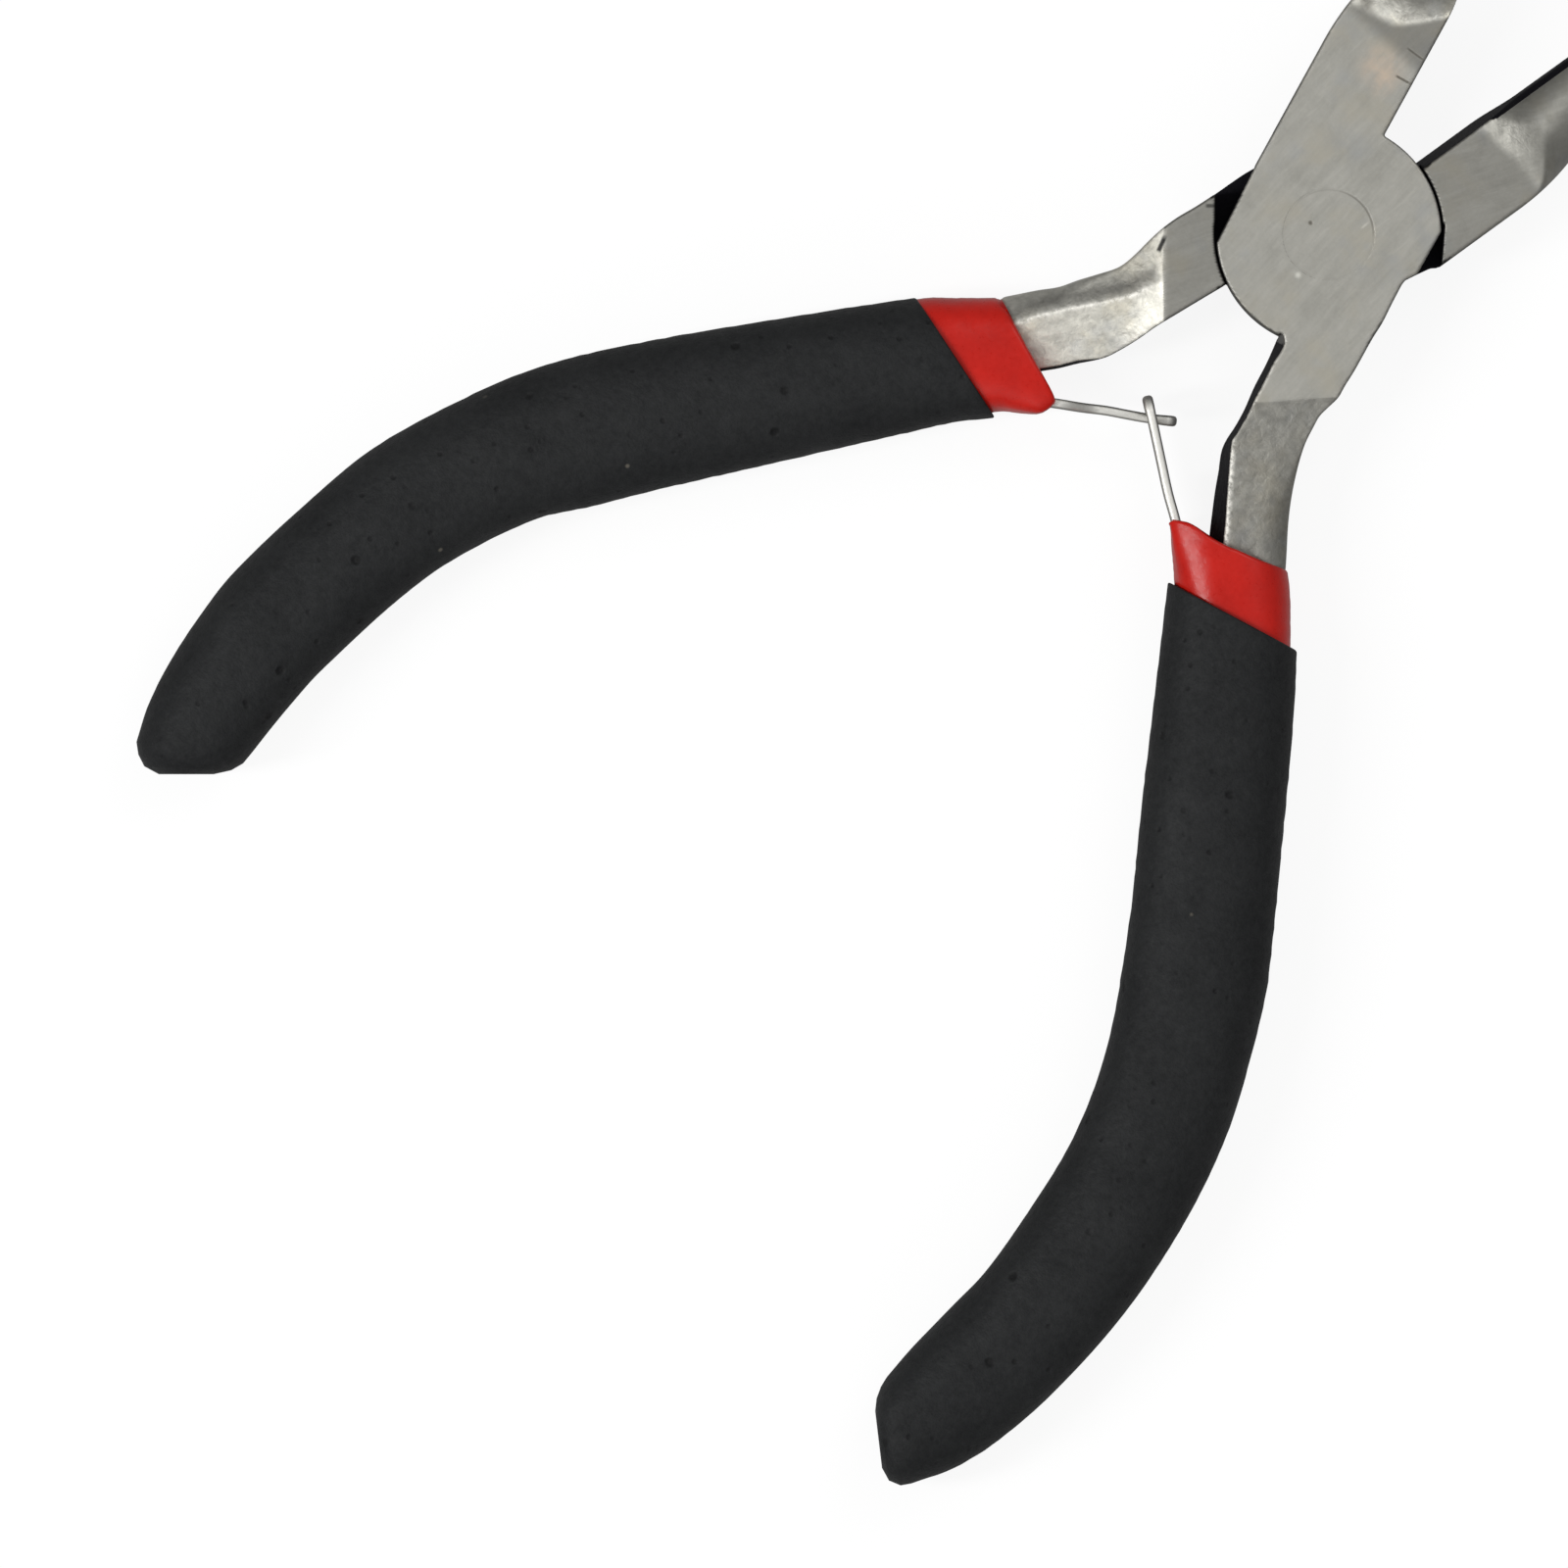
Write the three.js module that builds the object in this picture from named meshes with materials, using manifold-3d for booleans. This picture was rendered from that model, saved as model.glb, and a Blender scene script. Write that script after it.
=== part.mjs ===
// Round nose pliers with a lap joint, two interlocked leaf springs and two-layer dipped grips,
// modelled at rest, sprung open. Units are millimetres. The pivot axis is +Z through the origin;
// z = 0 is the underside of the joint and z = JOINT_THICK its top. +Y points to the jaws.
// Lever A is on top at the joint, with its jaw on the -X side and its handle on the +X side;
// lever B is underneath and the other way round.
import * as THREE from "three";
import { mergeVertices } from "three/addons/utils/BufferGeometryUtils.js";
import Module from "manifold-3d";

const wasm = await Module();
wasm.setup();

// ---------------------------------------------------------------- shared dimensions
const JOINT_THICK = 9.0; // both half-laps together
const MID = JOINT_THICK / 2; // plane where the two half-laps meet
const CORE_H = 3.35; // half-thickness of the handle core inside the sleeve
const SLEEVE_H = 4.25; // half-thickness of the inner sleeve, outside
const GRIP_WALL = 0.5;
const SKIN_GAP = 0.05; // between layers
const GRIP_H = SLEEVE_H + SKIN_GAP + GRIP_WALL; // half-thickness of the outer grip, outside
const LEAF_T = 0.7;
const LEAF_W = 6.0; // across the handle's thickness

// ---------------------------------------------------------------- plan outlines
// boss, pocket and the two leaf paths are lists of [x, y].
// neck, collar, grip and gripEnd are lists of ribs [inner x, inner y, outer x, outer y],
// running away from the pivot; the inner edge faces the other handle.
const LEVERS = {
  a: {
    top: true, // its half-lap is the upper one
    jawAngle: 103.5, // direction of the inner face line in plan, degrees from +X
    outerSign: 1, // 1: the jaw's outer side is left of its direction; -1: right
    jawOuter: 6.87, // outer edge, from the line through the pivot
    jawInner: 0.24, // inner face at mid thickness, from the same line
    jawFrom: 1.7, // where the straight outer edge of the jaw starts
    boss: [
      [5.743, 5.469], [4.959, 6.19], [4.049, 6.82], [3.061, 7.317], [2.013, 7.671], [0.925, 7.877],
      [-0.18, 7.929], [-1.145, 7.848], [-1.932, 7.692], [-7.031, -0.01], [-5.446, -5.748],
      [-4.959, -6.19], [-4.049, -6.82], [-3.061, -7.317], [-2.013, -7.671], [-0.925, -7.877],
      [0.18, -7.929], [1.282, -7.827], [2.14, -7.424], [3.513, -7.293], [7.167, -3.316],
      [6.981, -2.087], [6.562, -0.602], [6.107, 1.128], [6.496, 2.135],
    ],
    pocket: [],
    neck: [
      [1.127, -5.082, 6.381, -0.301], [2.14, -7.424, 6.995, -2.82],
      [2.911, -9.706, 7.664, -5.195], [3.538, -11.933, 8.138, -7.56],
      [4.212, -14.21, 8.13, -9.806], [4.528, -15.787, 8.539, -11.485],
      [5.382, -17.341, 9.194, -13.127], [6.199, -18.649, 10.002, -14.63],
      [7.207, -20.063, 11.097, -16.243], [8.214, -21.478, 12.42, -18.21],
      [9.273, -22.846, 13.887, -20.232], [10.786, -24.919, 15.827, -22.569],
    ],
    collar: [
      [5.292, -22.365, 13.78, -19.397], [6.833, -23.854, 15.697, -21.196],
      [8.513, -25.495, 17.503, -23.283],
    ],
    grip: [
      [8.302, -26.001, 18.356, -23.473], [10.456, -28.973, 20.946, -26.601],
      [12.944, -32.458, 23.82, -30.368], [16.143, -36.938, 27.479, -35.239],
      [19.405, -41.372, 31.1, -40.138], [22.63, -45.834, 34.327, -45.296],
      [25.31, -49.928, 36.74, -50.144], [27.657, -54.217, 38.556, -55.241],
      [29.39, -58.789, 39.781, -60.514], [30.42, -63.568, 40.487, -65.88],
      [31.035, -67.805, 40.618, -70.614], [31.252, -72.074, 40.39, -75.345],
      [31.085, -76.351, 39.58, -80.009], [31.187, -80.622, 37.706, -84.342],
    ],
    gripEnd: [[31.92, -81.75, 36.95, -85.15], [33.2, -82.75, 35.75, -84.65]],
    clampedPath: [
      [5.496, -22.179], [8.898, -24.586], [10.417, -26.0], [13.284, -29.919], [16.125, -33.861],
    ],
    armPath: [[5.496, -22.179], [2.285, -19.88], [-0.407, -17.947], [-1.827, -17.001]],
  },
  b: {
    top: false,
    jawAngle: 78.3,
    outerSign: -1,
    jawOuter: 6.45,
    jawInner: -0.17,
    jawFrom: 4.95,
    boss: [
      [-5.734, 5.479], [-4.915, 6.224], [-4.001, 6.848], [-3.009, 7.338], [-1.959, 7.685],
      [-0.87, 7.883], [0.235, 7.928], [1.2, 7.84], [2.013, 7.671], [7.293, 3.513], [6.909, 3.116],
      [6.496, 2.135], [6.162, 1.272], [5.268, -1.127], [5.465, -5.75], [4.695, -6.392],
      [3.76, -6.983], [2.752, -7.438], [1.69, -7.749], [0.595, -7.909], [-0.512, -7.915],
      [-1.608, -7.766], [-2.674, -7.467], [-2.991, -7.524], [-4.123, -7.714], [-8.072, -4.501],
      [-7.818, -3.244], [-7.345, -1.509], [-6.98, 0.036], [-6.48, 2.151],
    ],
    pocket: [ // straight reliefs either side of the shoulder arc
      [[-8.375, -2.632], [-5.404, -5.896], [-3.062, -4.884], [-6.011, 1.943], [-8.209, 0.875]],
      [[5.485, 6.064], [7.695, 3.225], [7.118, 0.836], [3.823, 3.432]],
    ],
    neck: [
      [-2.324, -4.772, -6.98, 0.036], [-3.047, -7.668, -7.818, -3.244],
      [-3.677, -9.639, -8.355, -5.318], [-4.325, -12.001, -8.85, -7.54],
      [-4.871, -14.27, -9.049, -9.679], [-5.362, -15.882, -9.331, -11.521],
      [-6.016, -17.316, -10.133, -12.997], [-6.929, -18.567, -10.875, -14.231],
      [-7.717, -19.75, -11.57, -15.516], [-8.575, -20.857, -12.613, -16.932],
      [-9.433, -21.964, -13.869, -18.728], [-10.985, -23.862, -15.734, -21.095],
    ],
    collar: [
      [-6.25, -21.772, -14.12, -18.862], [-7.317, -23.674, -16.262, -20.812],
      [-9.088, -25.007, -18.358, -22.812],
    ],
    grip: [
      [-9.019, -25.69, -18.727, -23.03], [-11.264, -28.433, -21.248, -26.172],
      [-13.64, -31.836, -24.184, -29.842], [-16.689, -36.214, -27.943, -34.574],
      [-19.741, -40.59, -31.598, -39.385], [-22.792, -44.967, -34.922, -44.427],
      [-25.405, -48.925, -37.187, -49.293], [-28.035, -52.857, -39.032, -54.335],
      [-29.797, -57.256, -40.184, -59.569], [-30.951, -61.849, -40.736, -64.912],
      [-31.448, -65.968, -40.984, -69.604], [-31.757, -70.106, -40.573, -74.281],
      [-31.726, -74.251, -39.643, -78.884], [-31.523, -78.396, -37.697, -83.128],
    ],
    gripEnd: [[-31.55, -79.75, -36.85, -83.9], [-32.55, -81.75, -35.1, -83.75]],
    clampedPath: [
      [-6.153, -21.777], [-9.385, -24.065], [-11.194, -25.664], [-13.141, -28.135],
      [-16.85, -33.282],
    ],
    armPath: [[-6.153, -21.777], [-3.171, -19.623], [-0.759, -18.174], [0.961, -16.888]],
  },
};

// ---------------------------------------------------------------- solids
function solid(geometry) {
  const bare = geometry.clone();
  bare.deleteAttribute("normal");
  bare.deleteAttribute("uv");
  const merged = mergeVertices(bare, 1e-4);
  return new wasm.Manifold(
    new wasm.Mesh({
      numProp: 3,
      vertProperties: new Float32Array(merged.attributes.position.array),
      triVerts: new Uint32Array(merged.index.array),
    }),
  );
}

function extrude(points, bottom, top) {
  const shape = new THREE.Shape(points.map(([x, y]) => new THREE.Vector2(x, y)));
  const geometry = new THREE.ExtrudeGeometry(shape, { depth: top - bottom, bevelEnabled: false });
  geometry.translate(0, 0, bottom);
  return solid(geometry);
}

function disc(radius, bottom, top, segments) {
  const geometry = new THREE.CylinderGeometry(radius, radius, top - bottom, segments);
  geometry.rotateX(Math.PI / 2);
  geometry.translate(0, 0, (bottom + top) / 2);
  return solid(geometry);
}

// A shaft along a plan direction, at mid thickness, between two distances from the origin point.
function shaft({ origin, dir }, radius, from, to) {
  const geometry = new THREE.CylinderGeometry(radius, radius, to - from, 24);
  geometry.translate(0, (from + to) / 2, 0);
  const axis = new THREE.Vector3(dir[0], dir[1], 0);
  const up = new THREE.Vector3(0, 1, 0);
  geometry.applyQuaternion(new THREE.Quaternion().setFromUnitVectors(up, axis));
  geometry.translate(origin[0], origin[1], MID);
  return solid(geometry);
}

// A rounded rectangle standing on a rib; the corner radii are limited to fit.
function ring([innerX, innerY, outerX, outerY], halfHeight, radiusAcross, radiusUp, arcSteps = 3) {
  const maxFill = 0.97; // largest share of a half-side that a corner may take
  const halfWidth = Math.hypot(outerX - innerX, outerY - innerY) / 2;
  const dirX = (outerX - innerX) / (2 * halfWidth);
  const dirY = (outerY - innerY) / (2 * halfWidth);
  const cornerX = Math.min(radiusAcross, maxFill * halfWidth);
  const cornerZ = Math.min(radiusUp, maxFill * halfHeight);
  const points = [];
  for (let q = 0; q < 4; q++) {
    const signX = q === 0 || q === 3 ? 1 : -1;
    const signZ = q < 2 ? 1 : -1;
    for (let k = 0; k <= arcSteps; k++) {
      const angle = ((q + k / arcSteps) * Math.PI) / 2;
      const x = signX * (halfWidth - cornerX) + cornerX * Math.cos(angle);
      const z = signZ * (halfHeight - cornerZ) + cornerZ * Math.sin(angle);
      points.push([(innerX + outerX) / 2 + dirX * x, (innerY + outerY) / 2 + dirY * x, MID + z]);
    }
  }
  return points;
}

// Skin through rings of equal point count, with a fan cap at each end.
function loft(rings) {
  const count = rings[0].length;
  const positions = rings.flat(2);
  const index = [];
  for (let i = 0; i + 1 < rings.length; i++)
    for (let k = 0; k < count; k++) {
      const here = i * count + k;
      const next = i * count + ((k + 1) % count);
      index.push(here, next, next + count, here, next + count, here + count);
    }
  for (const i of [0, rings.length - 1]) {
    const centre = positions.length / 3;
    const mean = [0, 0, 0];
    for (const point of rings[i]) for (let j = 0; j < 3; j++) mean[j] += point[j] / count;
    positions.push(...mean);
    for (let k = 0; k < count; k++) {
      const here = i * count + k;
      const next = i * count + ((k + 1) % count);
      if (i === 0) index.push(next, here, centre);
      else index.push(here, next, centre);
    }
  }
  // The two levers' ribs run opposite ways across, so turn inside-out skins round.
  const vertex = (k) => new THREE.Vector3().fromArray(positions, 3 * k);
  let volume = 0;
  for (let i = 0; i < index.length; i += 3) {
    const normal = vertex(index[i + 1]).cross(vertex(index[i + 2]));
    volume += vertex(index[i]).dot(normal) / 6;
  }
  if (volume < 0)
    for (let i = 0; i < index.length; i += 3) [index[i], index[i + 1]] = [index[i + 1], index[i]];
  const geometry = new THREE.BufferGeometry();
  geometry.setAttribute("position", new THREE.Float32BufferAttribute(positions, 3));
  geometry.setIndex(index);
  return solid(geometry);
}

// ---------------------------------------------------------------- plan geometry
const along = ([x, y], dir, distance) => [x + dir[0] * distance, y + dir[1] * distance];

function stretch(start, end) {
  const length = Math.hypot(end[0] - start[0], end[1] - start[1]);
  return { length, dir: [(end[0] - start[0]) / length, (end[1] - start[1]) / length] };
}

// Move a rib's inner end in by one distance and its outer end in by another.
function inset(rib, innerBy, outerBy = innerBy) {
  const inner = rib.slice(0, 2);
  const outer = rib.slice(2);
  const { dir } = stretch(inner, outer);
  return [...along(inner, dir, innerBy), ...along(outer, dir, -outerBy)];
}

function pathLength(path) {
  let total = 0;
  for (let i = 0; i + 1 < path.length; i++) total += stretch(path[i], path[i + 1]).length;
  return total;
}

// Mitred outline of a strip centred on a path, between two distances along it.
// The last stretch is carried on if `to` is past the end.
function stripOutline(path, halfThick, from, to = pathLength(path)) {
  const runs = [];
  let passed = 0;
  for (let i = 0; i + 1 < path.length; i++) {
    const { length, dir } = stretch(path[i], path[i + 1]);
    const isLast = i + 2 === path.length;
    const start = Math.max(0, from - passed);
    const end = isLast ? to - passed : Math.min(length, to - passed);
    if (end > start + 1e-6)
      runs.push({ start: along(path[i], dir, start), end: along(path[i], dir, end), dir });
    passed += length;
  }
  const first = runs[0];
  const last = runs[runs.length - 1];
  const stations = [{ point: first.start, dir: first.dir, mitre: 1 }];
  for (let i = 0; i + 1 < runs.length; i++) {
    const before = runs[i].dir;
    const after = runs[i + 1].dir;
    const { dir } = stretch([0, 0], [before[0] + after[0], before[1] + after[1]]);
    const mitre = 1 / (dir[0] * before[0] + dir[1] * before[1]);
    stations.push({ point: runs[i].end, dir, mitre });
  }
  stations.push({ point: last.end, dir: last.dir, mitre: 1 });
  const edge = (offset) =>
    stations.map(({ point, dir, mitre }) => along(point, [-dir[1], dir[0]], offset * mitre));
  return [...edge(halfThick), ...edge(-halfThick).reverse()];
}

// ---------------------------------------------------------------- pivot rivet
const RIVET_SHANK_R = 2.5;
const RIVET_HEAD_R = 3.1;
const RIVET_HEAD_DEPTH = 1.0;

// The double-countersunk rivet, or its bore: grown all round and carried past both faces.
function rivetShape(grow = 0, over = 0) {
  const head = RIVET_HEAD_R + grow;
  const shank = RIVET_SHANK_R + grow;
  const sides = [
    [head, 0], [shank, RIVET_HEAD_DEPTH],
    [shank, JOINT_THICK - RIVET_HEAD_DEPTH], [head, JOINT_THICK],
  ];
  if (over) {
    sides.unshift([head, -over]);
    sides.push([head, JOINT_THICK + over]);
  }
  const profile = [[0, -over], ...sides, [0, JOINT_THICK + over]];
  const geometry = new THREE.LatheGeometry(profile.map(([r, z]) => new THREE.Vector2(r, z)), 64);
  geometry.rotateX(Math.PI / 2); // the lathe's +Y becomes +Z
  return solid(geometry);
}

// ---------------------------------------------------------------- leaf springs
const LEAF_KNUCKLE = 0.3; // clear length each side of the flexure axis
const SLOT = { width: 3.0, from: 3.2, to: 8.35 }; // in lever A's free arm
const TONGUE = { width: 2.4, from: 3.0 }; // end of lever B's free arm
const LEAF_RIVET_R = 0.9;
const LEAF_RIVET_HEAD_R = 1.5;
const LEAF_RIVET_HEAD_T = 0.45;
const LEAF_RIVET_DEPTH = 2.6; // into the handle core
const LEAF_RIVET_AT = 1.6; // along the last stretch of the clamped leaf
const LEAF_RIVET_FIT = 0.03;
const LEAF_FIT = 0.1; // added to the leaf's size where it is let into a part

function leafStrip(path, thick, width, from, to) {
  return extrude(stripOutline(path, thick / 2, from, to), MID - width / 2, MID + width / 2);
}

// Axis of the leaf's rivet, pointing into the handle.
function leafRivetAxis(spec) {
  const [start, end] = spec.clampedPath.slice(-2);
  const { dir } = stretch(start, end);
  return {
    origin: along(start, dir, LEAF_RIVET_AT),
    dir: [-dir[1] * spec.outerSign, dir[0] * spec.outerSign],
  };
}

function leafRivet(spec, grow = 0) {
  const axis = leafRivetAxis(spec);
  const back = -(LEAF_T / 2 + LEAF_RIVET_HEAD_T + grow);
  const headFront = -LEAF_T / 2 - 0.02 + grow; // just clear of the leaf
  const shank = shaft(axis, LEAF_RIVET_R + grow, back + 0.1, LEAF_RIVET_DEPTH);
  return shank.add(shaft(axis, LEAF_RIVET_HEAD_R + grow, back, headFront));
}

function clampedLeaf(spec) {
  const hole = shaft(leafRivetAxis(spec), LEAF_RIVET_R + LEAF_RIVET_FIT, -1, 1);
  return leafStrip(spec.clampedPath, LEAF_T, LEAF_W, LEAF_KNUCKLE).subtract(hole);
}

// Lever A's arm is slotted; lever B's is narrowed to a tongue.
function freeArm(spec) {
  const path = spec.armPath;
  const arm = leafStrip(path, LEAF_T, LEAF_W, LEAF_KNUCKLE);
  if (spec.top)
    return arm.subtract(leafStrip(path, 2 * LEAF_T, SLOT.width, SLOT.from, SLOT.to));
  const waste = stripOutline(path, LEAF_T, TONGUE.from, pathLength(path) + 1);
  const near = TONGUE.width / 2;
  const far = LEAF_W / 2 + 1;
  return arm
    .subtract(extrude(waste, MID - far, MID - near))
    .subtract(extrude(waste, MID + near, MID + far));
}

// ---------------------------------------------------------------- jaws
// Distances are from the pivot, along the jaw.
const JAW_TIP = 33.0;
const JAW_STOCK_FROM = 3.5; // start of the full-thickness part, on its inner side
const JAW_ROOT_END = 14.2; // end of the full-thickness part
const JAW_ROUND_FROM = 13.9; // the section starts to turn round
const JAW_ROUND = 17.5; // the section is fully round from here on
const JAW_TAPER_START = 12.0;
const JAW_TAPER_MID = 13.1; // corner of the full-thickness part's outer edge
const JAW_TAPER_BLEND = 16.4; // the outer edge is straight from here on
const JAW_TAPER_K = 0.0285; // over the blend the outer edge falls by K * distance^2
const JAW_DRAFT = 0.31; // inner face's lean over half the joint: A stands out at top, B at bottom
const JAW_BLEND_H = 4.46; // half-thickness before the section turns round
const JAW_FLAT = { depth: 0.3, end: 30, fade: 13 }; // flat cut on the round, fading out at `end`
const JAW_SECTIONS = [ // [distance, scale of the section's radius]
  [13.0, 1], [14.2, 1], [14.7, 1], [15.2, 1], [15.8, 1], [16.5, 1], [JAW_ROUND, 1], [20, 1],
  [23, 1], [26, 1], [29, 1], [31.5, 1], [32.3, 1], [32.75, 0.8], [JAW_TIP, 0.45],
];

function jawOuterEdge(spec, distance) {
  const blend = Math.max(0, Math.min(distance, JAW_TAPER_BLEND) - JAW_TAPER_START);
  const slope = 2 * JAW_TAPER_K * (JAW_TAPER_BLEND - JAW_TAPER_START);
  const straight = Math.max(0, distance - JAW_TAPER_BLEND);
  return spec.jawOuter - JAW_TAPER_K * blend * blend - slope * straight;
}

function jaw(spec) {
  const angle = THREE.MathUtils.degToRad(spec.jawAngle);
  const forward = [Math.cos(angle), Math.sin(angle)];
  const outward = [-forward[1] * spec.outerSign, forward[0] * spec.outerSign];
  const at = (distance, offset) => along(along([0, 0], forward, distance), outward, offset);

  const stock = spec.jawInner - JAW_DRAFT - 0.2; // beyond the inner face, cut back below
  const outerPoints = [JAW_ROOT_END, JAW_TAPER_MID, JAW_TAPER_START, spec.jawFrom];
  const jawRoot = extrude(
    [
      at(JAW_STOCK_FROM, stock),
      at(JAW_ROOT_END, stock),
      ...outerPoints.map((distance) => at(distance, jawOuterEdge(spec, distance))),
    ],
    0,
    JOINT_THICK,
  );

  const rings = JAW_SECTIONS.map(([distance, scale]) => {
    const roundness = THREE.MathUtils.smoothstep(distance, JAW_ROUND_FROM, JAW_ROUND);
    const fade = THREE.MathUtils.clamp((JAW_FLAT.end - distance) / JAW_FLAT.fade, 0, 1);
    const outer = jawOuterEdge(spec, distance);
    const fullRadius = (outer - (spec.jawInner - JAW_FLAT.depth * fade)) / 2;
    const centre = outer - fullRadius;
    const radius = fullRadius * scale;
    const halfHeight = THREE.MathUtils.lerp(JAW_BLEND_H, radius, roundness);
    const corner = 0.25 + roundness * 20; // ring() limits it to the section
    const rib = [...at(distance, centre - radius), ...at(distance, centre + radius)];
    return ring(rib, halfHeight, corner, corner, 5);
  });

  // The inner face: a plane leaning about the jaw's direction.
  const cut = new THREE.BoxGeometry(60, 20, 40);
  cut.translate(15, -10, 0); // its +Y face is the cutting plane
  cut.rotateX(Math.atan(JAW_DRAFT / MID));
  if (spec.outerSign < 0) cut.rotateX(Math.PI);
  cut.rotateZ(angle);
  cut.translate(...at(0, spec.jawInner), MID);
  return jawRoot.add(loft(rings)).subtract(solid(cut));
}

// ---------------------------------------------------------------- levers
const LAP_GAP = 0.05; // running gap between the laps
const POCKET_R = 8.1; // shoulder arc that clears the other lever's boss (boss radius 7.93)
const RIVET_FIT = 0.02; // in lever A, fixed
const RIVET_RUN = 0.06; // in lever B, running
const CORE_ROUND = 1.95;
// [half-thickness, corner radius] at each neck rib, from the joint to the core in the sleeve.
const NECK_SECTIONS = [
  [MID, 0.12], [MID, 0.12], [MID, 0.12], [MID, 0.15], [4.25, 0.6], [4.07, 1.0], [3.88, 1.3],
  [3.72, 1.55], [3.58, 1.75], [3.47, 1.9], [3.38, CORE_ROUND], [CORE_H, CORE_ROUND],
];
// [inner inset, outer inset] of the core from grip ribs 1 to 11.
const CORE_INSETS = [
  [2.35, 1.65], [2.35, 1.65], [1.95, 1.6], [1.75, 1.6], [1.6, 1.6], [1.55, 1.6], [1.6, 1.65],
  [1.7, 1.7], [1.8, 1.8], [1.9, 1.9], [2.1, 2.1],
];

// Neck and handle core.
function handleCore(spec, grow = 0) {
  const neck = spec.neck.map((rib, i) => {
    const [halfHeight, corner] = NECK_SECTIONS[i];
    return ring(inset(rib, -grow), halfHeight + grow, corner + grow, corner + grow);
  });
  const core = CORE_INSETS.map(([inner, outer], i) => {
    const halfHeight = i === CORE_INSETS.length - 1 ? CORE_H - 0.5 : CORE_H;
    const rib = inset(spec.grip[i + 1], inner - grow, outer - grow);
    return ring(rib, halfHeight + grow, CORE_ROUND + grow, CORE_ROUND + grow);
  });
  return loft([...neck, ...core]);
}

function lever(spec) {
  let body = extrude(spec.boss, 0, JOINT_THICK).add(handleCore(spec)).add(jaw(spec));
  // Half-lap pocket for the other lever.
  const bottom = spec.top ? -1 : MID - LAP_GAP / 2;
  const top = spec.top ? MID + LAP_GAP / 2 : JOINT_THICK + 1;
  body = body.subtract(disc(POCKET_R, bottom, top, 96));
  for (const relief of spec.pocket) body = body.subtract(extrude(relief, bottom, top));
  // Countersunk bore for the pivot rivet.
  const fit = spec.top ? RIVET_FIT : RIVET_RUN;
  body = body.subtract(rivetShape(fit, fit + 0.5));
  // Flat seat for the clamped leaf, and a blind hole for its rivet.
  body = body.subtract(leafStrip(spec.clampedPath, LEAF_T + LEAF_FIT, LEAF_W + 2, 1.0));
  const holeRadius = LEAF_RIVET_R + LEAF_RIVET_FIT;
  return body.subtract(shaft(leafRivetAxis(spec), holeRadius, 0, LEAF_RIVET_DEPTH + 0.1));
}

// ---------------------------------------------------------------- sleeves and grips
const SKIN_STEPS = 4; // steps in each corner of a sleeve or grip section

function sleeveOuter(spec, grow = 0) {
  const section = (rib) => ring(rib, SLEEVE_H + grow, 2.9, 3.0, SKIN_STEPS);
  const wall = GRIP_WALL * 1.12 + SKIN_GAP - grow;
  // The end rib lies short of the grip's last rib, a fifth of the way back to the one before.
  const lastRib = inset(spec.grip[13], wall + 0.3);
  const endRib = lastRib.map((value, i) => value * 0.8 + spec.grip[12][i] * 0.2);
  return loft([
    ...spec.collar.map((rib) => section(inset(rib, -grow))),
    ...spec.grip.slice(1, 13).map((rib) => section(inset(rib, wall))),
    ring(inset(endRib, 0.6), SLEEVE_H - 0.5 + grow, 2.4, 2.6, SKIN_STEPS),
  ]);
}

function gripOuter(spec) {
  const [shoulder, tip] = spec.gripEnd;
  return loft([
    ...spec.grip.map((rib, i) =>
      ring(rib, i === 13 ? GRIP_H - 0.15 : GRIP_H, 3.1, 3.3, SKIN_STEPS)),
    ring(shoulder, GRIP_H - 0.7, 2.4, 2.9, SKIN_STEPS),
    ring(tip, GRIP_H - 2.2, 1.2, 2.0, SKIN_STEPS),
  ]);
}

function sleeve(spec) {
  // Channel for the clamped leaf, with room for it to flex where it leaves the mouth.
  const channel = leafStrip(spec.clampedPath, LEAF_T + LEAF_FIT, LEAF_W + LEAF_FIT, 0);
  const reliefHalf = LEAF_W / 2 + 0.15;
  const relief = disc(0.9, MID - reliefHalf, MID + reliefHalf, 24);
  return sleeveOuter(spec)
    .subtract(handleCore(spec, SKIN_GAP))
    .subtract(channel)
    .subtract(relief.translate([...spec.clampedPath[0], 0]))
    .subtract(leafRivet(spec, 0.06));
}

const grip = (spec) => gripOuter(spec).subtract(sleeveOuter(spec, SKIN_GAP));

// ---------------------------------------------------------------- assembly
const STEEL = { color: 0x9f9d95, roughness: 0.42, metalness: 0.85 }; // levers, pivot rivet
const BRIGHT = { color: 0xb4b3ad, roughness: 0.3, metalness: 0.9 }; // springs and their rivets
const RED = { color: 0xb62820, roughness: 0.32, metalness: 0 }; // glossy inner sleeves
const BLACK = { color: 0x2a2b2b, roughness: 0.85, metalness: 0 }; // matt outer grips

const root = new THREE.Group();
root.name = "round_nose_pliers";

function add(name, body, look) {
  const { vertProperties, triVerts } = body.getMesh();
  const geometry = new THREE.BufferGeometry();
  geometry.setAttribute("position", new THREE.Float32BufferAttribute(vertProperties, 3));
  geometry.setIndex(Array.from(triVerts));
  const faceted = geometry.toNonIndexed();
  faceted.computeVertexNormals();
  const mesh = new THREE.Mesh(faceted, new THREE.MeshStandardMaterial(look));
  mesh.name = name;
  root.add(mesh);
}

for (const [key, spec] of Object.entries(LEVERS)) {
  add(`lever_${key}`, lever(spec), STEEL);
  add(`spring_leaf_${key}_clamped_end`, clampedLeaf(spec), BRIGHT);
  add(`spring_leaf_${key}_free_arm`, freeArm(spec), BRIGHT);
  add(`leaf_rivet_${key}`, leafRivet(spec), BRIGHT);
  add(`inner_sleeve_${key}`, sleeve(spec), RED);
  add(`outer_grip_${key}`, grip(spec), BLACK);
}
add("pivot_rivet", rivetShape(), STEEL);

export default root;
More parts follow.
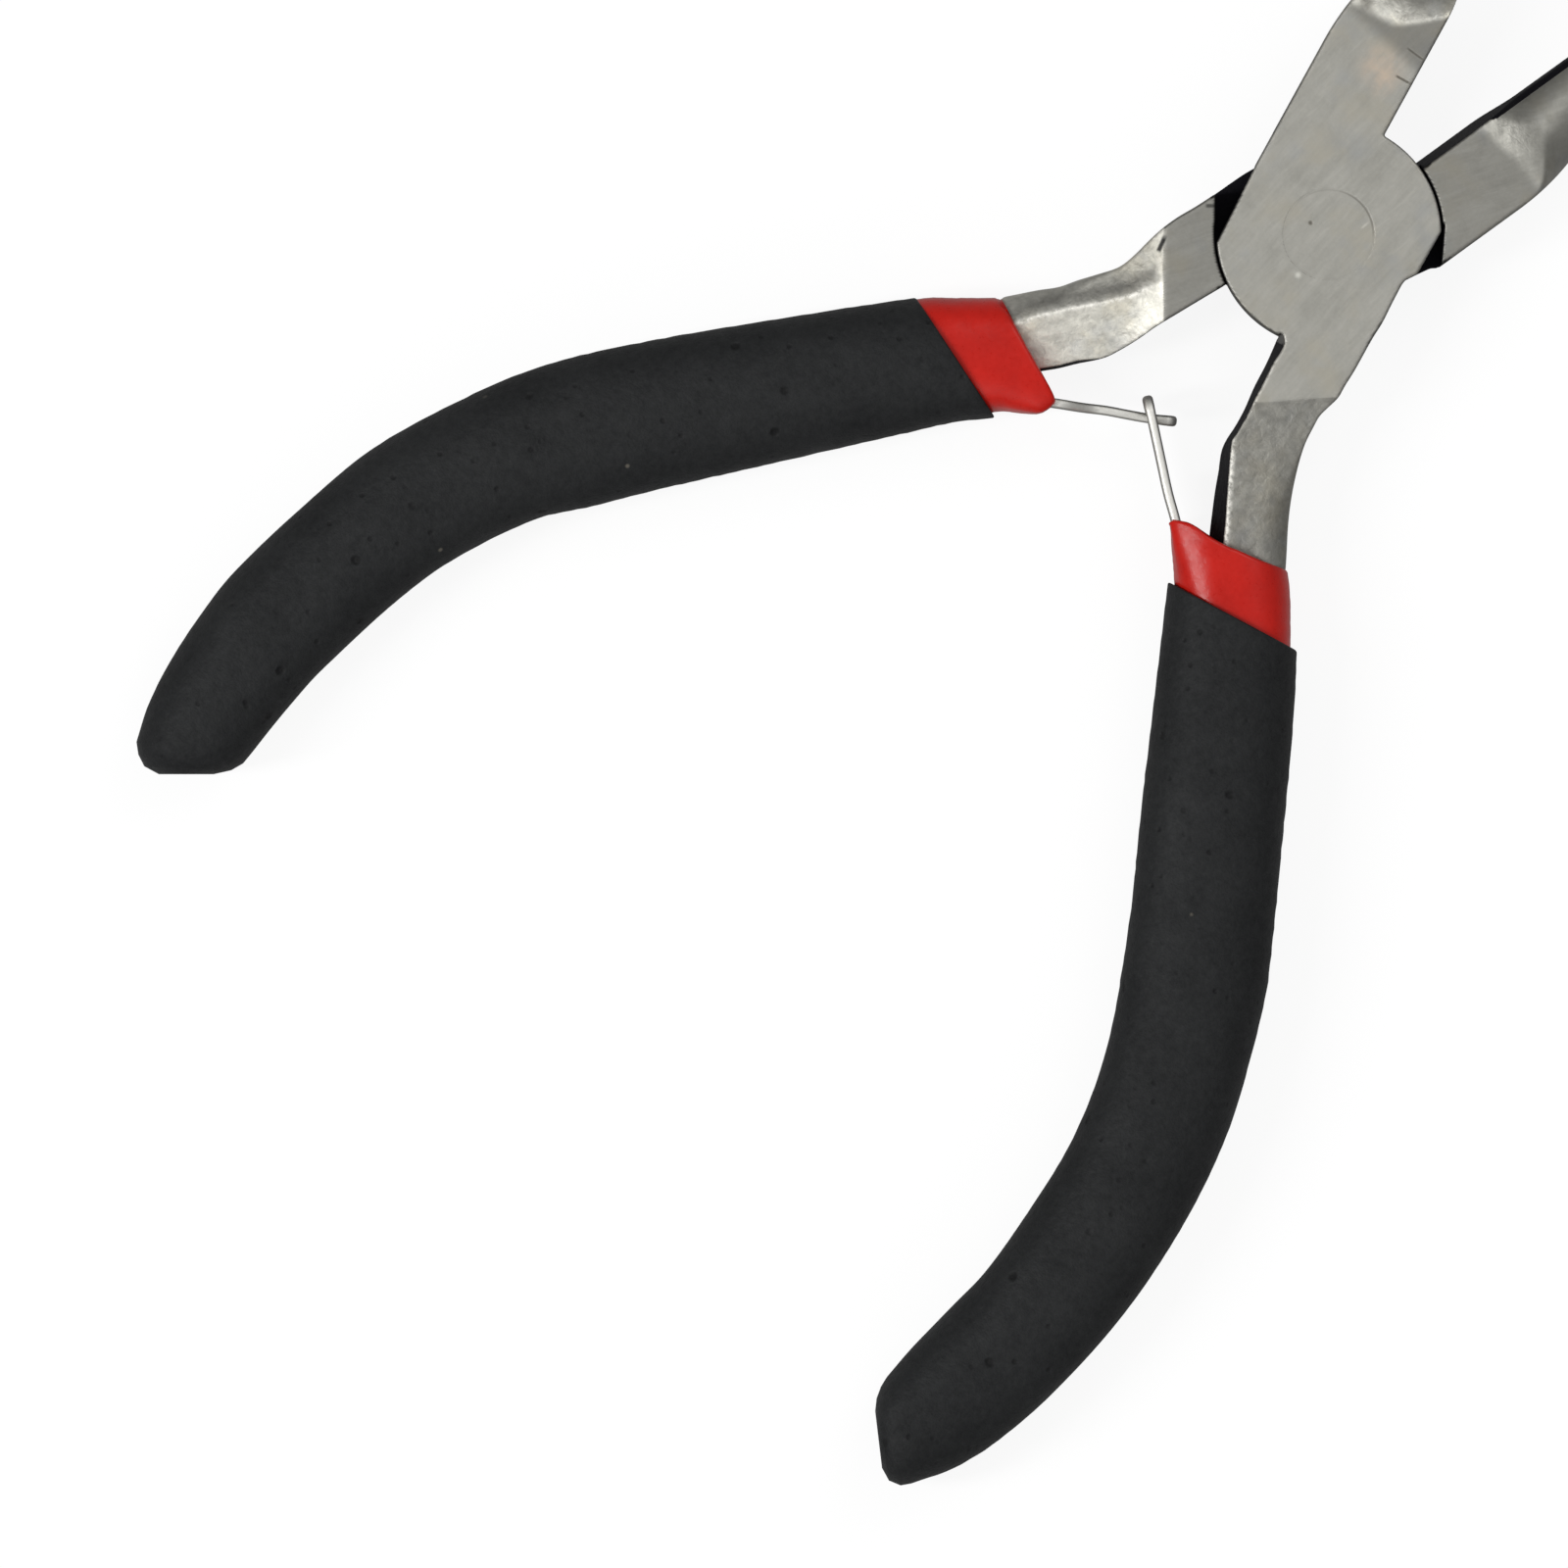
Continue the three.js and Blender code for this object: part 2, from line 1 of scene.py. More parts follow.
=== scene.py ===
"""Looks for the round nose pliers. Everything is in the row frame: x, y and z in metres in Blender,
worked out below in millimetres (MM). The pivot axis is z, y points towards the jaws, and the
joint is 9 mm thick from z = 0. Lever A is the upper one at the joint. Its handle lies towards +x
and its jaw towards -x; lever B is the other way round. On a handle or jaw, "inner" is the side
that faces the other lever."""

import math
from functools import reduce

import bmesh
import bpy
import numpy as np
from mathutils import Matrix, Vector


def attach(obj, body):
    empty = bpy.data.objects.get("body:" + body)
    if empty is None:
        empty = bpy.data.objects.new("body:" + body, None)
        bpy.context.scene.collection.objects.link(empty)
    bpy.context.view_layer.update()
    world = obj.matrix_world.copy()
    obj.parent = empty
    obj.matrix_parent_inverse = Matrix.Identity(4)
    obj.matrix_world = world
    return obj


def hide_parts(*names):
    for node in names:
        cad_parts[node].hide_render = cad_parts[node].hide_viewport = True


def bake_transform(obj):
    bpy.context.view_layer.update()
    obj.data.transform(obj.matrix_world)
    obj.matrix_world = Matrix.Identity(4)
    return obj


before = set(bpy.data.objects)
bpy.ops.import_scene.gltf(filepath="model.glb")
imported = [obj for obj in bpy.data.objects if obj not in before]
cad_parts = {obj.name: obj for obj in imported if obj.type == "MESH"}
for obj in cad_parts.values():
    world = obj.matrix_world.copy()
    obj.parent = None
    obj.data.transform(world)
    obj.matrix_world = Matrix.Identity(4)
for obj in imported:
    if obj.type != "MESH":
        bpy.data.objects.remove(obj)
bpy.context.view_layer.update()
MM = 0.001
THICK = 9.0
MID = THICK / 2
FIELD_STEP = 0.13  # grid spacing for the levers
LEAF_STEP = 0.085  # and for the leaf springs
POCKET_R = 8.04  # recess in each lever for the other one's boss
BOSS_R = 7.93

# ------------------------------------------------------------------ plan outlines, mm
# Ribs across each grip from its mouth to its end: [inner x, y, outer x, y].
GRIP = {
    "a": [
        [8.18, -25.8, 18.21, -23.29], [9.72, -27.95, 20.08, -25.54], [11.08, -29.84, 21.71, -27.58],
        [12.43, -31.74, 23.29, -29.66], [13.79, -33.64, 24.86, -31.75],
        [15.15, -35.54, 26.43, -33.84], [16.5, -37.43, 27.99, -35.93],
        [17.87, -39.32, 29.54, -38.02], [19.27, -41.19, 31.09, -40.12],
        [20.66, -43.06, 32.59, -42.26], [22.02, -44.95, 33.91, -44.52],
        [23.32, -46.89, 35.12, -46.83], [24.6, -48.83, 36.28, -49.17],
        [25.85, -50.8, 37.32, -51.56], [26.98, -52.84, 38.19, -54.02],
        [27.98, -54.94, 38.91, -56.53], [28.84, -57.11, 39.5, -59.08],
        [29.55, -59.33, 39.97, -61.64], [30.08, -61.6, 40.33, -64.23],
        [30.47, -63.9, 40.55, -66.83], [30.82, -66.2, 40.63, -69.44],
        [31.12, -68.52, 40.59, -72.05], [31.28, -70.84, 40.45, -74.65],
        [31.18, -73.17, 40.13, -77.24], [31.1, -75.5, 39.63, -79.81],
        [31.04, -77.83, 38.79, -82.27], [31.12, -80.36, 37.45, -84.76],
    ],
    "b": [
        [-8.79, -25.44, -18.61, -22.95], [-10.56, -27.43, -20.37, -25.08],
        [-11.86, -29.28, -21.97, -27.07], [-13.15, -31.13, -23.57, -29.07],
        [-14.44, -32.98, -25.16, -31.07], [-15.73, -34.83, -26.75, -33.06],
        [-17.01, -36.68, -28.33, -35.07], [-18.3, -38.53, -29.89, -37.09],
        [-19.59, -40.37, -31.42, -39.14], [-20.88, -42.22, -32.9, -41.22],
        [-22.17, -44.07, -34.29, -43.36], [-23.44, -45.93, -35.55, -45.59],
        [-24.67, -47.82, -36.6, -47.91], [-25.94, -49.68, -37.58, -50.27],
        [-27.28, -51.49, -38.47, -52.67], [-28.33, -53.48, -39.27, -55.09],
        [-29.19, -55.57, -39.88, -57.57], [-29.94, -57.69, -40.24, -60.1],
        [-30.57, -59.86, -40.51, -62.64], [-30.98, -62.07, -40.76, -65.18],
        [-31.29, -64.31, -40.93, -67.73], [-31.5, -66.55, -40.99, -70.28],
        [-31.67, -68.8, -40.76, -72.83], [-31.81, -71.05, -40.41, -75.36],
        [-31.77, -73.3, -39.91, -77.86], [-31.67, -75.55, -39.18, -80.31],
        [-31.5, -77.94, -38.03, -82.86],
    ],
}
# The last ribs, across each grip's rounded end.
GRIP_END = {
    "a": [[31.27, -81.15, 36.98, -85.37], [31.6, -81.97, 36.14, -85.67],
          [32.13, -82.7, 35.18, -85.34]],
    "b": [[-31.45, -78.92, -37.33, -83.43], [-31.74, -79.84, -36.46, -83.76],
          [-32.47, -80.88, -35.33, -83.48]],
}
# Flanks of each neck, [x, y] from the joint to the handle.
NECK_INNER = {
    "a": [
        [1.1, -4.64], [2.14, -7.42], [2.91, -9.71], [3.37, -11.44], [3.92, -13.07], [4.25, -14.46],
        [4.4, -15.44], [4.57, -16.03], [5.38, -17.34], [6.2, -18.65], [7.07, -19.91],
        [8.12, -21.38], [9.27, -22.85], [10.79, -24.92], [12.35, -27.04],
    ],
    "b": [
        [-2.8, -6.51], [-2.99, -7.52], [-3.22, -8.29], [-3.69, -9.83], [-4.15, -11.37],
        [-4.61, -12.92], [-4.98, -14.56], [-5.45, -16.1], [-5.72, -16.82], [-6.09, -17.43],
        [-6.93, -18.57], [-7.72, -19.75], [-8.5, -20.74], [-9.39, -22.01], [-10.85, -24.0],
        [-12.21, -26.08],
    ],
}
NECK_OUTER = {
    "a": [
        [6.5, 2.13], [6.17, 1.37], [6.19, 0.83], [6.56, -0.6], [6.98, -2.09], [7.21, -3.37],
        [7.5, -4.6], [7.82, -5.98], [8.05, -7.26], [8.22, -7.95], [8.17, -9.03], [8.13, -9.9],
        [8.33, -10.74], [8.66, -11.93], [9.19, -13.13], [9.73, -14.13], [10.23, -14.98],
        [11.0, -16.14], [11.83, -17.25], [12.71, -18.32], [14.0, -19.94], [15.37, -21.96],
        [16.79, -23.93],
    ],
    "b": [
        [-6.48, 2.15], [-6.98, 0.04], [-7.21, -0.64], [-7.45, -1.6], [-7.82, -3.24], [-8.23, -4.84],
        [-8.7, -6.38], [-8.95, -7.63], [-9.07, -9.04], [-9.11, -10.02], [-9.33, -11.52],
        [-10.13, -13.0], [-10.87, -14.23], [-11.57, -15.52], [-12.45, -16.6], [-13.29, -17.73],
        [-14.12, -18.86], [-15.58, -20.84], [-17.11, -23.26],
    ],
}
# Inner edge of lever A's upper neck face, [x, y].
STRIP_A = [
    [2.24, -7.33], [2.72, -7.65], [3.22, -9.43], [3.88, -11.9], [4.1, -13.47], [4.47, -14.91],
    [4.93, -15.61], [5.99, -16.98], [7.28, -18.6], [8.57, -20.22], [9.21, -21.13], [10.68, -22.96],
    [13.26, -26.21],
]
# Ridge along lever B's upper neck face, [x, y].
RIDGE_B = [
    [-6.38, -10.05], [-6.61, -10.72], [-7.16, -12.16], [-8.74, -14.53], [-10.41, -16.79],
    [-11.2, -17.97], [-11.89, -19.26], [-13.38, -21.73],
]
# Ribs of the red collar between neck and grip: [inner x, y, outer x, y].
COLLAR = {
    "a": [[5.29, -22.37, 13.78, -19.4], [5.99, -23.03, 14.72, -20.22], [6.83, -23.85, 15.7, -21.2],
          [8.23, -25.19, 17.09, -22.73], [9.21, -26.16, 18.25, -24.0]],
    "b": [[-6.25, -21.77, -14.12, -18.86], [-6.55, -22.88, -14.94, -19.6],
          [-7.32, -23.67, -16.26, -20.81], [-8.74, -24.78, -17.95, -22.34],
          [-9.57, -25.91, -19.04, -23.71]],
}
# Mouth edge of each collar, [x, y], inner side first.
MOUTH = {
    "a": [
        [5.34, -22.42], [5.42, -22.2], [5.7, -21.99], [6.0, -21.81], [6.3, -21.63], [6.9, -21.46],
        [7.58, -21.4], [8.2, -21.35], [8.81, -21.21], [9.55, -21.0], [10.15, -20.74],
        [11.09, -20.44], [12.01, -20.12], [12.83, -19.79], [13.78, -19.4],
    ],
    "b": [
        [-6.08, -22.37], [-6.11, -21.92], [-6.34, -21.57], [-6.72, -21.36], [-7.29, -21.14],
        [-7.97, -20.91], [-8.69, -20.73], [-10.04, -20.28], [-11.38, -19.82], [-12.77, -19.32],
        [-14.12, -18.86],
    ],
}
MOUTH_REACH = 1.6  # how far into the handle the mouth's shape dies out
# First ribs of the sleeve's bore, and of the steel core in it: [inner x, y, outer x, y].
BORE_START = {
    "a": [[8.2, -21.42, 13.6, -19.5], [9.4, -23.3, 14.9, -21.6], [11.4, -26.0, 16.9, -24.3]],
    "b": [[-8.55, -20.85, -13.95, -18.85], [-9.6, -22.4, -15.3, -20.75],
          [-11.6, -25.2, -17.3, -23.6]],
}
CORE_START = {
    "a": [[10.2, -24.3, 15.6, -22.6], [11.5, -26.1, 17.0, -24.5]],
    "b": [[-10.4, -23.5, -16.0, -21.9], [-11.7, -25.4, -17.4, -23.8]],
}

NECK_DIR = {"a": -43.8, "b": 222.3 - 360}  # direction of each neck, degrees from +x
SLOPE_FROM = {"a": 11.37, "b": 11.55}  # where the ground flat ends, along that direction
# Jaw direction in degrees from +x, side of it the jaw lies on (1 is left), distances out from it
# of the outer and inner faces, how far the inner face leans, and where the jaw starts along it.
JAW = {
    "a": dict(angle=103.5, side=1, outer=6.87, inner=0.24, lean=-0.31, start=1.7),
    "b": dict(angle=78.3, side=-1, outer=6.45, inner=-0.17, lean=0.31, start=4.95),
}
JAW_ROUND_FROM, JAW_END = 32.0, 33.0  # along the jaw direction

# Middle line of each leaf spring, [x, y]: the clamped end, then the free arm to its tip.
LEAF_CLAMPED = {
    "a": [[16.125, -33.861], [13.284, -29.919], [10.417, -26.0], [8.898, -24.586]],
    "b": [[-16.85, -33.282], [-13.141, -28.135], [-11.194, -25.664], [-9.385, -24.065]],
}
LEAF_FREE = {
    "a": [[5.566, -22.104], [3.9, -21.05], [2.285, -19.9], [0.85, -18.87], [-0.407, -17.97],
          [-1.2, -17.42], [-1.827, -16.98]],
    "b": [[-6.208, -21.697], [-4.65, -20.68], [-3.171, -19.64], [-1.9, -18.86], [-0.759, -18.14],
          [0.15, -17.5], [0.961, -16.9]],
}
LEAF_THICK, LEAF_WIDTH = 0.68, 5.5


# ------------------------------------------------------------------ small maths
def arc(start_deg, end_deg):
    """Points on the boss circle."""
    turns = [math.radians(a) for a in np.linspace(start_deg, end_deg, 40)]
    return [[BOSS_R * math.cos(a), BOSS_R * math.sin(a)] for a in turns]


def path_length(points):
    return np.r_[0, np.cumsum(np.hypot(*(points[1:] - points[:-1]).T))]


def spline(points, count):
    """Evenly spaced points along a smooth curve through the given ones."""
    p = np.asarray(points, float)
    reach = path_length(p)
    slope = np.zeros_like(p)
    gap = np.diff(reach)
    chord = (p[1:] - p[:-1]) / gap[:, None]
    blend = chord[:-1] * gap[1:, None] + chord[1:] * gap[:-1, None]
    slope[1:-1] = blend / (gap[1:] + gap[:-1])[:, None]
    slope[0], slope[-1] = chord[0], chord[-1]
    t = np.linspace(0, reach[-1], count)
    i = np.clip(np.searchsorted(reach, t, side="right") - 1, 0, len(p) - 2)
    u = ((t - reach[i]) / gap[i])[:, None]
    g = gap[i][:, None]
    return (
        (2 * u**3 - 3 * u**2 + 1) * p[i]
        + (u**3 - 2 * u**2 + u) * g * slope[i]
        + (-2 * u**3 + 3 * u**2) * p[i + 1]
        + (u**3 - u**2) * g * slope[i + 1]
    )


def smoothstep(start, end, x):
    """0 to 1 as x goes from start to end."""
    t = np.clip((x - start) / (end - start), 0, 1)
    return t * t * (3 - 2 * t)


def bell(x, centre, width):
    """1 where x is at the centre, dying out over the width."""
    return np.exp(-(((x - centre) / width) ** 2))


def line_distance(line, x, y):
    """Distance to an open polyline, and which side (positive on its left)."""
    p = np.asarray(line, float)
    best = np.full(x.shape, 1e9)
    side = np.zeros(x.shape)
    for (ax, ay), (bx, by) in zip(p[:-1], p[1:]):
        ex, ey = bx - ax, by - ay
        wx, wy = x - ax, y - ay
        t = np.clip((wx * ex + wy * ey) / (ex * ex + ey * ey), 0, 1)
        distance = np.hypot(wx - ex * t, wy - ey * t)
        side = np.where(distance < best, ex * wy - ey * wx, side)
        best = np.minimum(best, distance)
    return best, side


def outline_distance(outline, x, y):
    """Signed distance to a closed polygon, negative inside."""
    p = np.asarray(outline, float)
    inside = np.zeros(x.shape, bool)
    for (ax, ay), (bx, by) in zip(p, np.roll(p, -1, 0)):
        if abs(by - ay) > 1e-12:
            inside ^= ((ay <= y) != (by <= y)) & (x < ax + (y - ay) * (bx - ax) / (by - ay))
    distance, _ = line_distance(np.vstack([p, p[:1]]), x, y)
    return np.where(inside, -distance, distance)


def corner(a, b):
    """Distance to the corner region where both a and b are negative."""
    return np.hypot(np.maximum(a, 0), np.maximum(b, 0)) + np.minimum(np.maximum(a, b), 0)


def round_and(a, b, radius):
    """Intersection of two distance fields with a rounded edge."""
    flat = np.minimum(-radius, np.maximum(a, b))
    return flat + np.hypot(np.maximum(a + radius, 0), np.maximum(b + radius, 0))


# ------------------------------------------------------------------ surface from a distance field
def grid_axes(low, high, step):
    counts = np.ceil((high - low) / step).astype(int)
    return [low[i] + step * np.arange(counts[i] + 1) for i in range(3)]


def surface_nets(field, origin, step):
    """A quad mesh on the zero level of the field, with one vertex per crossed cell. Returns the
    vertices, the quads, and the vertices in grid coordinates."""
    _, ny, nz = field.shape
    inside = field < 0
    ids, points, faces = [], [], []
    for axis in range(3):
        near, far = [slice(None)] * 3, [slice(None)] * 3
        near[axis], far[axis] = slice(0, -1), slice(1, None)
        near, far = tuple(near), tuple(far)
        starts_inside = inside[near]
        i, j, k = np.nonzero(starts_inside != inside[far])
        f0, f1 = field[near][i, j, k], field[far][i, j, k]
        ijk = np.stack([i, j, k], 1)
        p = ijk.astype(float)
        p[:, axis] += f0 / (f0 - f1)
        others = [o for o in range(3) if o != axis]
        ok = np.ones(len(i), bool)
        for o in others:
            ok &= (ijk[:, o] > 0) & (ijk[:, o] < field.shape[o] - 1)
        flip = starts_inside[i, j, k][ok]
        ijk, p = ijk[ok], p[ok]
        quad = []
        for shift in ((0, 0), (1, 0), (1, 1), (0, 1)):
            c = ijk.copy()
            c[:, others] -= shift
            cell = (c[:, 0] * (ny - 1) + c[:, 1]) * (nz - 1) + c[:, 2]
            quad.append(cell)
            ids.append(cell)
            points.append(p)
        quad = np.stack(quad, 1)
        turn = flip if axis != 1 else ~flip
        faces.append(np.where(turn[:, None], quad[:, ::-1], quad))
    ids, points = np.concatenate(ids), np.concatenate(points)
    unique, inverse = np.unique(ids, return_inverse=True)
    count = np.bincount(inverse)
    grid = np.stack([np.bincount(inverse, points[:, a]) / count for a in range(3)], 1)
    quads = np.searchsorted(unique, np.concatenate(faces))
    return grid * step + origin, quads, grid


def sample(values, grid):
    """Trilinear samples of a 3-D array at grid coordinates."""
    i = np.clip(np.floor(grid).astype(int), 0, np.array(values.shape) - 2)
    f = grid - i
    total = 0
    for dx in (0, 1):
        for dy in (0, 1):
            for dz in (0, 1):
                weight = (f[:, 0] if dx else 1 - f[:, 0]) * (f[:, 1] if dy else 1 - f[:, 1])
                weight = weight * (f[:, 2] if dz else 1 - f[:, 2])
                total = total + weight * values[i[:, 0] + dx, i[:, 1] + dy, i[:, 2] + dz]
    return total


def mesh_field(field, low, step):
    """Vertices, outward-facing quads and vertex normals of a distance field's surface."""
    v, quads, grid = surface_nets(field, low, step)
    normals = np.stack([sample(np.gradient(field, axis=a), grid) for a in range(3)], 1)
    normals /= np.maximum(1e-9, np.sqrt((normals**2).sum(1)))[:, None]
    # pull the vertices onto the surface
    for _ in range(2):
        v = v - normals * (sample(field, (v - low) / step))[:, None] * 0.9
    q = v[quads]
    facing = np.cross(q[:, 2] - q[:, 0], q[:, 3] - q[:, 1])
    wrong = (facing * normals[quads].sum(1)).sum(1) < 0
    quads[wrong] = quads[wrong][:, ::-1]
    return v, quads, normals


def make_mesh(name, verts_mm, faces, smooth=True, normals=None):
    mesh = bpy.data.meshes.new(name)
    corners = [list(map(int, f)) for f in faces]
    mesh.from_pydata((np.asarray(verts_mm) * MM).tolist(), [], corners)
    mesh.validate()
    mesh.update()
    mesh.polygons.foreach_set("use_smooth", [smooth] * len(mesh.polygons))
    if normals is not None:
        mesh.normals_split_custom_set_from_vertices(normals.tolist())
    ob = bpy.data.objects.new(name, mesh)
    bpy.context.scene.collection.objects.link(ob)
    return ob


def attribute(ob, name, values):
    data = ob.data.attributes.new(name, "FLOAT", "POINT").data
    data.foreach_set("value", np.asarray(values, np.float32))


def uniform_steel(ob, oxide_and_shade):
    """The steel's attributes for a piece with the same finish all over."""
    for name in ("oxide_and_shade", "wear_and_highlight", "facet", "cone_highlight", "rim_and_crease_shade"):
        value = oxide_and_shade if name == "oxide_and_shade" else 0.0
        attribute(ob, name, np.full(len(ob.data.vertices), value))


# ------------------------------------------------------------------ levers
# Plan outline of each boss, [x, y].
BOSS = {
    "a": arc(43.6, 104.1) + [[-7.031, -0.01], [-5.446, -5.748]] + arc(226.5, 286.1)
    + [[2.14, -7.424], [3.513, -7.293], [7.1, -3.4], [6.981, -2.087], [6.562, -0.602],
       [6.107, 1.128], [6.496, 2.135]],
    "b": arc(136.5, 78.0)
    + [[7.293, 3.513], [6.909, 3.116], [6.496, 2.135], [6.162, 1.272], [5.268, -1.127],
       [5.465, -5.75]]
    + arc(-46.5, -111.6)
    + [[-4.123, -7.714], [-8.072, -4.501], [-7.818, -3.244], [-7.345, -1.509], [-6.98, 0.036],
       [-6.48, 2.151]],
}
# Outlines that widen lever B's pocket on two sides, [x, y].
POCKET_B = [
    [[-8.375, -2.632], [-5.404, -5.896], [-3.062, -4.884], [-6.011, 1.943], [-8.209, 0.875]],
    [[5.485, 6.064], [7.695, 3.225], [7.118, 0.836], [3.823, 3.432]],
]
RIDGE_LINE = spline(RIDGE_B, 40)


def along_neck(lever, x, y):
    angle = math.radians(NECK_DIR[lever])
    return x * math.cos(angle) + y * math.sin(angle)


def jaw_axes(lever, x, y):
    """Distance along the jaw direction, distance out from it, and the outward unit vector."""
    angle = math.radians(JAW[lever]["angle"])
    outward = np.array([-math.sin(angle), math.cos(angle)]) * JAW[lever]["side"]
    along = x * math.cos(angle) + y * math.sin(angle)
    return along, x * outward[0] + y * outward[1], outward


def outer_offset(jaw, along):
    """The jaw's outer face: a parabola, then a straight taper that carries on its slope."""
    curve = np.clip(along, 12.0, 16.4) - 12.0
    return jaw["outer"] - 0.0285 * curve * curve - 0.2508 * np.maximum(0, along - 16.4)


def inner_offset(jaw, along):
    """The inner side of the round part, before the inner face cuts it flat."""
    return jaw["inner"] - 0.3 * np.clip((30 - along) / 13, 0, 1)


def cone_start(lever, along, out):
    """Where a point of the jaw lies against the curved line at which flat gives way to cone."""
    jaw = JAW[lever]
    off = out - (outer_offset(jaw, along) + inner_offset(jaw, along)) / 2
    inward = np.maximum(-off, 0)
    if lever == "a":
        return along + 0.04 * np.maximum(off, 0) - 1.0 * inward**2 / (inward + 1) - 0.95
    return along + 0.03 * off**2 - 0.11 * off + 0.62


def collar_limit(lever, x, y):
    """A function of z that keeps the steel's outer corners inside the sleeve's section."""
    rib = COLLAR[lever][0]
    centre, half, across = rib_frame(rib)
    into = np.array([across[1], -across[0]]) * (1 if lever == "a" else -1)
    sideways = (x - centre[0]) * across[0] + (y - centre[1]) * across[1]
    depth = (x - centre[0]) * into[0] + (y - centre[1]) * into[1]
    wide = np.maximum(sideways, 0) / (half - 0.12)
    ahead = 0.30 * np.maximum(-0.15 - depth, 0)  # frees the neck in front of the collar
    power = 2.9

    def at(z):
        tall = abs(z - MID) / 4.08
        return ((wide**power + tall**power) ** (1 / power) - 1) * 3.5 - ahead

    return at


def body_field(lever, x, y):
    """Boss and neck on the plan grid, as a function of z."""
    boss = outline_distance(BOSS[lever], x, y)
    inner = spline(NECK_INNER[lever], 60).tolist()
    outer = spline(NECK_OUTER[lever], 80).tolist()
    neck = outline_distance(inner + outer[::-1], x, y)
    distance = along_neck(lever, x, y)
    past = distance - SLOPE_FROM[lever]
    from_inner, _ = line_distance(inner, x, y)
    from_outer, _ = line_distance(outer, x, y)
    # both faces fall away from the end of the ground flat, with a small step at its edge
    fall = 1.25 * (1 - np.exp(-np.maximum(past, 0) / 7.5))
    drop = fall + 0.06 * smoothstep(0, 0.5, past)
    # The inner flank is widest at mid height and leans back towards both faces.
    thin_lean = 0.36 * smoothstep(4.2, 6.2, past)
    if lever == "a":
        strip = outline_distance(spline(STRIP_A, 60).tolist() + outer[::-1], x, y)
        # the strip is given at the neck's own upper face, which lies lower towards the grip
        face = 1 - fall / MID
        wide_lean = np.maximum(strip - neck, 0.34 * smoothstep(-4.2, -3.4, past))
        lean_top, lean_bottom = wide_lean / np.maximum(face, 0.5), thin_lean
        # both faces fall a little further near the outer flank
        crown = 0.35 * smoothstep(1.8, 0.0, from_outer) * smoothstep(0, 8, past)
        top, bottom = THICK - drop - crown, drop + crown
    else:
        lean_top, lean_bottom = thin_lean, 0.35 + 0.6 * smoothstep(0, 10, past)
        # the upper face slopes down on both sides of the ridge
        from_ridge, side = line_distance(RIDGE_LINE, x, y)
        slope = np.where(side > 0, 0.40 * from_ridge, 0.34 * from_ridge)
        top, bottom = THICK - drop - slope * smoothstep(-0.2, 3.5, past), drop
    edge_radius = 0.08 + 1.15 * smoothstep(3, 9, past) * smoothstep(2.6, 1.0, from_outer)
    limit = collar_limit(lever, x, y)

    def at(z):
        t = (z - MID) / MID
        lean = (lean_top if t > 0 else lean_bottom) * abs(t)
        plan = np.minimum(boss, np.maximum(neck, (lean - from_inner) * 0.95))
        body = round_and(plan, np.maximum(z - top, bottom - z), edge_radius)
        return np.maximum(np.maximum(body, limit(z)), distance - 27.0)

    return at


def jaw_field(lever, x, y):
    """The jaw on the plan grid, as a function of z: a square bar that turns into a round cone."""
    jaw = JAW[lever]
    along, out, _ = jaw_axes(lever, x, y)
    outer = outer_offset(jaw, along)
    round_inner = inner_offset(jaw, along)
    round_r = (outer - round_inner) / 2
    roundness = smoothstep(13.9, 17.8, cone_start(lever, along, out))
    # the square bar reaches 0.5 mm past the inner face, which cuts it below
    inner = jaw["inner"] - 0.5 + roundness * (round_inner - jaw["inner"] + 0.5)
    tip = np.sqrt(1 - np.clip(along - JAW_ROUND_FROM, 0, 1.0) ** 2)
    tip = np.maximum(tip, 0.05)
    half_height = (MID + roundness * (round_r - MID)) * tip
    half_width = (outer - inner) / 2 * tip
    radius = 0.16 + roundness**1.2 * (round_r - 0.16)
    radius = np.minimum(radius, np.minimum(half_width, half_height))
    wide = np.abs(out - (outer + inner) / 2) - (half_width - radius)

    def at(z):
        bar = corner(wide, abs(z - MID) - (half_height - radius)) - radius
        inner_face = jaw["inner"] + jaw["lean"] * (z - MID) / MID
        bar = round_and(bar, inner_face - out, 0.08)
        return np.maximum(np.maximum(bar, jaw["start"] - along), along - JAW_END)

    return at


def lever_field(lever, x, y, heights):
    """Signed distance to a lever on the grid (x, y 2-D, heights 1-D)."""
    upper = lever == "a"
    body, jaw = body_field(lever, x, y), jaw_field(lever, x, y)
    radius = np.hypot(x, y)
    pocket = radius - POCKET_R
    if not upper:
        for outline in POCKET_B:
            pocket = np.minimum(pocket, outline_distance(outline, x, y))
    field = np.empty(x.shape + (len(heights),), np.float32)
    for i, z in enumerate(heights):
        solid = np.minimum(body(z), jaw(z))
        # the pocket takes the other lever's half of the thickness, and 0.05 mm of play
        past_pocket = (z - (MID + 0.05)) if upper else ((MID - 0.05) - z)
        solid = np.maximum(solid, -np.maximum(pocket, past_pocket))
        # the rivet's hole, wider for its head in the last millimetre
        in_head = (z - 8.0) if upper else (1.0 - z)
        hole = np.minimum(np.maximum(radius - 3.06, -in_head), radius - 2.54)
        field[:, :, i] = round_and(solid, -hole, 0.03)
    return field


